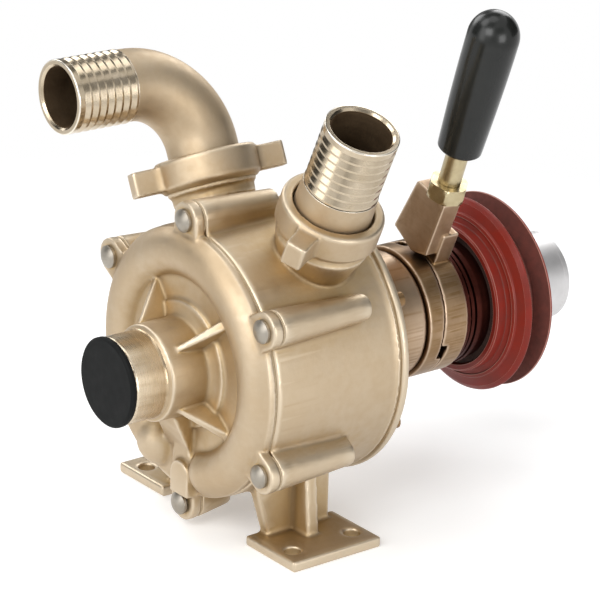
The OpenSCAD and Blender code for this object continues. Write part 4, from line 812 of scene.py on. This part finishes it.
castings = {
    "casingCasting": {
        "node": "pump_casing", "body": "pump_body", "slot": "cast_bronze",
        "voxel": 0.85, "passes": 7, "fill": 0.5, "soften": 0.14, "triangles": 90000},
    "coverCasting": {
        "node": "front_cover", "body": "pump_body", "slot": "cast_bronze",
        "voxel": 0.7, "passes": 7, "fill": 0.5, "soften": 0.14, "triangles": 75000,
        "extras": [fingerSolid(), ballSolid()], "shape": draftRibs,
        "turned": {"from": -86, "to": -65.6, "inner": 0, "outer": 23, "finish": "hubBronze"}},
    "bracketCasting": {
        "node": "bearing_bracket", "body": "pump_body", "slot": "cast_bronze",
        "voxel": 0.9, "passes": 8, "fill": 0.55, "soften": 0.12, "triangles": 50000,
        # Its turned hub gets the darkened bronze: painted shade.
        "turned": {"from": turnedFrom, "to": 110, "inner": 0, "outer": 36, "finish": "shadedBronze"}},
    "elbowNut": {
        "node": "elbow_union_nut", "body": "pump_body", "slot": "cast_bronze",
        "voxel": 0.6, "passes": 10, "fill": 0.5, "soften": 0.2, "triangles": 30000},
    "straightNut": {
        "node": "straight_union_nut", "body": "pump_body", "slot": "cast_bronze",
        "voxel": 0.6, "passes": 10, "fill": 0.5, "soften": 0.2, "triangles": 30000},
    # The cam rings take the darkened bronze as painted shade, and their shelter counts both bodies, so the
    # joint between them gets painted shade too; the arm takes the darkened arm bronze.
    "leverCamCasting": {
        "node": "lever_cam_ring", "body": "lever", "slot": "machined_bronze", "finish": "shadedBronze",
        "voxel": 0.5, "passes": 7, "fill": 0.5, "soften": 0.2, "triangles": 40000,
        "shelteredBy": "cams",
        "turned": {"from": 80, "to": 140, "inner": 37.5, "outer": 90, "finish": "shadedArmBronze"}},
    "fixedCam": {
        "node": "fixed_cam_ring", "body": "pump_body", "slot": "machined_bronze", "finish": "shadedBronze",
        "voxel": 0.5, "passes": 5, "fill": 0.4, "soften": 0.2, "triangles": 30000, "shelteredBy": "cams"},
}


def turnZone(piece, zone):
    # Faces between two radii from the shaft line, and two stations on it, get a finish of their own.
    piece.data.materials.append(shaftFinishes.get(zone["finish"]) or finishes[zone["finish"]])
    for face in piece.data.polygons:
        x, y, z = (c / mm for c in face.center)
        away = math.hypot(x, z - shaftHeight)
        if zone["from"] < y < zone["to"] and zone["inner"] < away < zone["outer"]:
            face.material_index = 1


trees = {"pump_body": solidTree("pump_body"), "lever": solidTree("lever"),
         "cams": solidTree("pump_body", "lever")}
for pieceName, spec in castings.items():
    made = castPiece(pieceName, spec)
    addShelter(made, trees[spec.get("shelteredBy", spec["body"])])
    dress(made, spec["body"], spec["slot"], [spec["node"]], shaftFinishes.get(spec.get("finish")))
    if "turned" in spec:
        turnZone(made, spec["turned"])
print("castings made")


tailSizes = {
    "seat": 91.2, "collarEnd": 96.2, "collarRadius": 23.0, "tubeRadius": 18.5, "boreRadius": 15.5,
    "barbs": 7, "barbRadius": 19.0, "barbDepth": 1.3, "barbStep": 0.3, "barbLand": 1.5, "barbLength": 36.0,
    "tipLength": 3.9, "bendStart": 106.2, "bendRadius": 37.0, "pastBend": 3.7, "straightPlainEnd": 113.8,
    "turnedLead": 0.5, "edge": 0.3,
}


def barbProfile(start):
    # Barbs towards the hose's end: a steep step, a short land, then a long slope.
    s = tailSizes
    row = s["barbLength"] - s["tipLength"]
    pitch = row / s["barbs"]
    root, top = s["barbRadius"] - s["barbDepth"], s["barbRadius"]
    made = []
    for i in range(s["barbs"]):
        z = start + i * pitch
        made += [(root, z, 0.12), (top, z + s["barbStep"], 0.15), (top, z + s["barbLand"], 0.25)]
    end = start + s["barbLength"]
    made += [(root, start + row, 0.12), (top, start + row + s["barbStep"], 0.15), (top, end, 0.7)]
    return made


def elbowPath(x, y, z):
    # Straight out of the port, a quarter bend forwards, then level to the end.
    s = tailSizes
    turn = min(max((z - s["bendStart"]) / s["bendRadius"], 0), math.pi / 2)
    past = max(z - s["bendStart"] - s["bendRadius"] * math.pi / 2, 0)
    before = min(z, s["bendStart"])
    reach = s["bendRadius"] + y
    return (x, -s["bendRadius"] + reach * math.cos(turn) - past,
            before + reach * math.sin(turn))


def tailProfile(neckRadius, plainRadius, plainEnd):
    s = tailSizes
    end = plainEnd + s["barbLength"]
    outside = [(s["boreRadius"], s["seat"], 0.3), (s["collarRadius"], s["seat"], 0.4),
               (s["collarRadius"], s["collarEnd"], 0.5), (neckRadius, s["collarEnd"], 0.8),
               (plainRadius, plainEnd, 0.2)]
    mouth = [(s["boreRadius"] + 1.2, end, 0.2), (s["boreRadius"], end - 1.2, 0.3)]
    return outside + barbProfile(plainEnd) + mouth


def bendRings(profile, start, end, step=2.0):
    # Extra rings where a long plain stretch has to bend.
    made = []
    for a, b in zip(profile, profile[1:] + profile[:1]):
        made.append(a)
        low, high = max(min(a[1], b[1]), start), min(max(a[1], b[1]), end)
        if high - low > step:
            count = int((high - low) / step)
            zs = np.linspace(low, high, count + 1)
            zs = zs if b[1] > a[1] else zs[::-1]
            for z in zs:
                t = (z - a[1]) / (b[1] - a[1])
                if 0.02 < t < 0.98:
                    made.append(np.array((a[0] + (b[0] - a[0]) * t, z)))
    return made


def makeTails():
    s = tailSizes
    bendEnd = s["bendStart"] + s["bendRadius"] * math.pi / 2
    plainEnd = bendEnd + s["pastBend"]
    elbow = rounded(tailProfile(s["tubeRadius"], s["tubeRadius"], plainEnd), s["edge"], True)
    elbow = bendRings(elbow, s["bendStart"] - 1, bendEnd + 1)
    elbow = turnedMesh("elbowTail", elbow, alongPort(-1), True, 96, path=elbowPath)
    dress(elbow, "elbow_tail", "cast_bronze", ["elbow_hose_tail"])
    turnedEnd(elbow, plainEnd)
    straight = tailProfile(s["barbRadius"] + 1.2, s["barbRadius"] + 0.3, s["straightPlainEnd"])
    straight = rounded(straight, s["edge"], True)
    straight = turnedMesh("straightTail", straight, alongPort(1), True, 96)
    dress(straight, "pump_body", "cast_bronze", ["straight_hose_tail"])
    turnedEnd(straight, s["straightPlainEnd"])


def turnedEnd(tail, plainEnd):
    # From just before its barbs on a tail is turned, not as cast; its bore is painted dark all along, as
    # painted shade.
    tail.data.materials.append(finishes["machined_bronze"])
    tail.data.materials.append(finishes["boreShadeBronze"])
    own = tail.data.attributes["latheCoords"].data
    boreEdge = (tailSizes["boreRadius"] + 0.2) * mm
    for face in tail.data.polygons:
        places = [own[v].vector for v in face.vertices]
        if max(math.hypot(v.x, v.y) for v in places) < boreEdge:
            face.material_index = 2
        elif min(v.z for v in places) > (plainEnd - tailSizes["turnedLead"]) * mm:
            face.material_index = 1


makeTails()
print("hose tails made")


capShape = {
    "station": -88.5,
    "profile": [(0, 0), (22, 0, 0.8), (23.1, 1, 0.6), (23.1, 3, 0.3), (17.4, 3, 0.1), (17.4, 4.6, 0.3),
                (14.9, 4.6, 0.3), (14.9, 2.2, 0.3), (0, 2.2)],
    "edge": 0.5, "segments": 128,
}
cap = turnedPiece("bearingCap", capShape, alongShaft(capShape["station"]))
dress(cap, "pump_body", "black_rubber", ["bearing_cap"])

boltShape = {
    "headRadius": 6.0, "headHeight": 4.0, "dome": 9.0, "shankRadius": 3.95, "shankEnd": 28.0,
    "circle": 76.0, "seat": -41.5, "raisedSeat": -42.5, "raisedClock": 270,
}


def makeBolts():
    s = boltShape
    top, shank = s["headRadius"], s["shankRadius"]
    dome = [(s["dome"] * math.sin(a), s["dome"] * (1 - math.cos(a)) - s["headHeight"])
            for a in np.linspace(0, math.asin(top / s["dome"]), 8)]
    profile = [(r, z, 0) for r, z in dome[:-1]] + [(top, dome[-1][1], 0.35), (top, 0, 0.2)]
    profile += [(shank, 0, 0.2), (shank, s["shankEnd"], 0.6), (0, s["shankEnd"])]
    spec = {"profile": profile, "segments": 48}
    for i in range(6):
        clock = 30 + 60 * i
        y = s["raisedSeat"] if clock == s["raisedClock"] else s["seat"]
        place = roundShaft(y, s["circle"], clock)
        bolt = turnedPiece("coverBolt%d" % (i + 1), spec, place)
        dress(bolt, "pump_body", "stainless", ["cover_bolts"], finishes["boltSteel"])


makeBolts()
print("front made")


pulleyShape = {
    "station": 132.36,
    # drum, front ridges, front rim, groove, back rim, web
    "profile": [(37, 0), (39.7, 0), (40.5, 0.8), (40.5, 6.4, 0.8), (42.1, 7.2, 0.8),
                (43.3, 7.6, 0.3), (43.9, 7, 0.3), (45.6, 7.7, 0.3), (46, 8.8, 0.4),
                (50.9, 10.6, 0.4), (52.7, 12, 0.4), (53.3, 12.7, 0.4), (53.3, 13.25, 0.3),
                (42.8, 16.87, 0.8), (42.8, 22.63, 0.8), (53.3, 26.25, 0.35), (53.3, 27.1, 0.4),
                (52.5, 27.9, 0.4), (47.3, 27.9, 0.6), (44.3, 22.9, 1.2), (36.1, 22.9, 1), (35.1, 27.9, 0.5),
                (24.1, 27.9, 0.2), (24.1, 21, 0.2), (31.5, 21, 0.8), (33.5, 20, 0.8)],
    "closed": True, "edge": 0.35, "segments": 160,
    "groove": {"from": 145.7, "to": 158.5, "inner": 42, "outer": 53.2, "finish": "grooveShadePaint"},
}
pulley = turnedPiece("pulleyWheel", pulleyShape, alongShaft(pulleyShape["station"]))
# Shelter over the pulley's own solid paints shade into its groove and drum; the groove faces take the darker
# groove paint.
addShelter(pulley, solidTree("pulley"))
dress(pulley, "pulley", "red_paint", ["v_pulley"])
turnZone(pulley, pulleyShape["groove"])

bearingLow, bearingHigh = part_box("pulley_bearing_outers")
bearingRadius = (bearingHigh.x - bearingLow.x) / 2 / mm
lipRadius = bearingRadius - 3

hubShape = {
    "station": 151.36,
    "profile": [(lipRadius, 0), (24.08, 0, 0.4), (24.08, 8.9, 0.3), (33.1, 8.9, 0.5), (33.1, 12.9, 0.6),
                (24.08, 12.9, 1.5), (24.08, 44.4, 0.2), (bearingRadius, 44.4, 0.2),
                (bearingRadius, 1.5, 0.1), (lipRadius, 1.5, 0.2)],
    "closed": True, "edge": 0.3, "segments": 128,
}
hub = turnedPiece("pulleyHub", hubShape, alongShaft(hubShape["station"]))
dress(hub, "pulley", "bare_aluminium", ["pulley_hub"])

hubCapShape = {
    "station": 195.76,
    "profile": [(0, 0.8), (lipRadius, 0.8, 0.1), (lipRadius, -3, 0.2), (bearingRadius - 0.1, -3, 0.3),
                (bearingRadius - 0.1, 0, 0.1), (24.08, 0, 0.15), (24.08, 2.8, 0.4), (22.88, 4, 0.4), (0, 4)],
    "segments": 128,
}
hubCap = turnedPiece("hubEndCap", hubCapShape, alongShaft(hubCapShape["station"]))
dress(hubCap, "pulley", "bare_aluminium", ["hub_cap"])

screwShape = {
    "profile": [(0, -9), (1.6, -9, 0.2), (2, -8.4, 0.2), (2, 0, 0.1), (3.8, 0, 0.15), (3.8, 3.4, 0.5),
                (2, 3.4, 0.15), (2, 1.6, 0.1), (0, 1.6)],
    "circle": 28.7, "seat": 164.26, "socket": 3.4, "socketEdge": 2.05, "segments": 48,
}


def hexagon(flat, start=0.0, below=None):
    # Squeezes a ring to a hexagon; below limits it to rings inside that radius and above the seat.
    def shape(angle, r, z):
        side = (angle - start + math.pi / 6) % (math.pi / 3) - math.pi / 6
        if below is not None and (r > below or z < 1.0):
            return r
        limit = flat / 2 / math.cos(side)
        return min(r, limit) if below is None else limit * r / below
    return shape


for i in range(4):
    s = screwShape
    place = roundShaft(s["seat"], s["circle"], 45 + 90 * i)
    screw = turnedPiece("hubScrew%d" % (i + 1), s, place, shape=hexagon(s["socket"], 0, s["socketEdge"]))
    dress(screw, "pulley", "stainless", ["pulley_hub_screws"])
print("pulley made")


rodShape = {
    "profile": [(0, 60.5), (4.45, 60.5, 0.4), (4.45, 85.02, 0.1), (5.95, 85.02, 0.3), (5.95, 145, 0.2),
                (5.0, 146, 0.2), (0, 146)],
    "edge": 0.3, "segments": 64,
}
rod = turnedPiece("leverRod", rodShape, alongRod())
dress(rod, "lever", "yellow_zinc", ["lever_rod"])

nutShape = {
    "profile": [(4.5, 0), (10.07, 0, 0.1), (15.2, 3.0, 0.1), (15.2, 6.0, 0.1), (10.07, 9.0, 0.1), (4.5, 9.0)],
    "closed": True, "height": 76, "flat": 19.0, "turn": 15, "edge": 0.1, "segments": 96,
}
lockNut = turnedPiece("lockNut", nutShape, alongRod(nutShape["height"]),
                      shape=hexagon(nutShape["flat"], math.radians(nutShape["turn"]) + math.pi / 6))
dress(lockNut, "lever", "yellow_zinc", ["lever_lock_nut"])

gripShape = {
    "start": 105, "base": 11.6, "foot": 1.2, "swell": 1.8, "height": 82.0, "dome": 14.07,
    "bore": 5.96, "boreDepth": 41.5, "segments": 96,
}
nubShape = {
    "profile": [(0, -2), (1.3, -2, 0.4), (1.95, -1.3, 0.3), (1.95, 3.4, 0.1), (0, 3.4)],
    "height": 5, "segments": 32,
}


def makeGrip():
    s = gripShape
    body = s["height"] - s["dome"]
    profile = [(0, s["boreDepth"]), (s["bore"], s["boreDepth"], 0.2), (s["bore"], 0, 0.3),
               (s["base"] - s["foot"], 0, 0.5), (s["base"], s["foot"], 0.6)]
    profile += [(s["base"] + s["swell"] * math.sin(math.pi / 2 * t), body * t, 0)
                for t in np.linspace(0.05, 1, 20)]
    top = s["base"] + s["swell"]
    profile += [(top * math.cos(a), body + s["dome"] * math.sin(a), 0)
                for a in np.radians(np.linspace(6, 84, 14))]
    profile += [(0, s["height"])]
    grip = turnedPiece("leverGrip", {"profile": profile, "segments": s["segments"]}, alongRod(s["start"]))
    dress(grip, "lever", "grip_plastic", ["lever_grip"])
    aside = Matrix.Translation((-s["base"] * mm, 0, 0)) @ Matrix.Rotation(math.radians(90), 4, "Y")
    nub = turnedPiece("gripNub", nubShape, alongRod(s["start"] + nubShape["height"]) @ aside)
    dress(nub, "lever", "grip_plastic", ["grip_pin"])


makeGrip()
print("lever made")


def makeReturnSpring():
    # The spring behind the clutch cone, copied from its CAD solid onto the shaft.
    spring = addObject("returnSpring", frame["nodes"]["return_spring"].data.copy())
    dress(spring, "shaft", "stainless", ["return_spring"], shaftFinishes["stainless"])
    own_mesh(spring)


makeReturnSpring()
print("return spring made")

# The CAD nodes that stay, each in its own finish. The parts in the drum's gap are painted near black as
# painted shade, the bracket screws in the darkened bronze.
keptFinishes = {
    "machined_bronze": ["port_plate", "star_impeller"],
    "drumShadeSteel": ["thrust_sleeve", "thrust_balls", "thrust_cage", "thrust_washer", "clutch_cone",
                   "spring_washer"],
    "shadedBronze": ["bracket_screws"],
    "stainless": ["pump_shaft", "seal_spring"],
    "black_rubber": ["front_lip_seal", "rear_lip_seal", "seal_head"],
    "gasket_fibre": ["cover_gasket", "bracket_gasket", "union_gaskets"],
    "lining_fibre": ["clutch_lining"],
    "white_seat": ["seal_seat"],
}
for nodeName, thing in frame["nodes"].items():
    if thing.hide_render:
        continue
    slotName = next((s for s, names in keptFinishes.items() if nodeName in names), "bearing_steel")
    thing.data.materials.clear()
    thing.data.materials.append(shaftFinishes.get(slotName) or finishes[slotName])
print("kept nodes dressed")
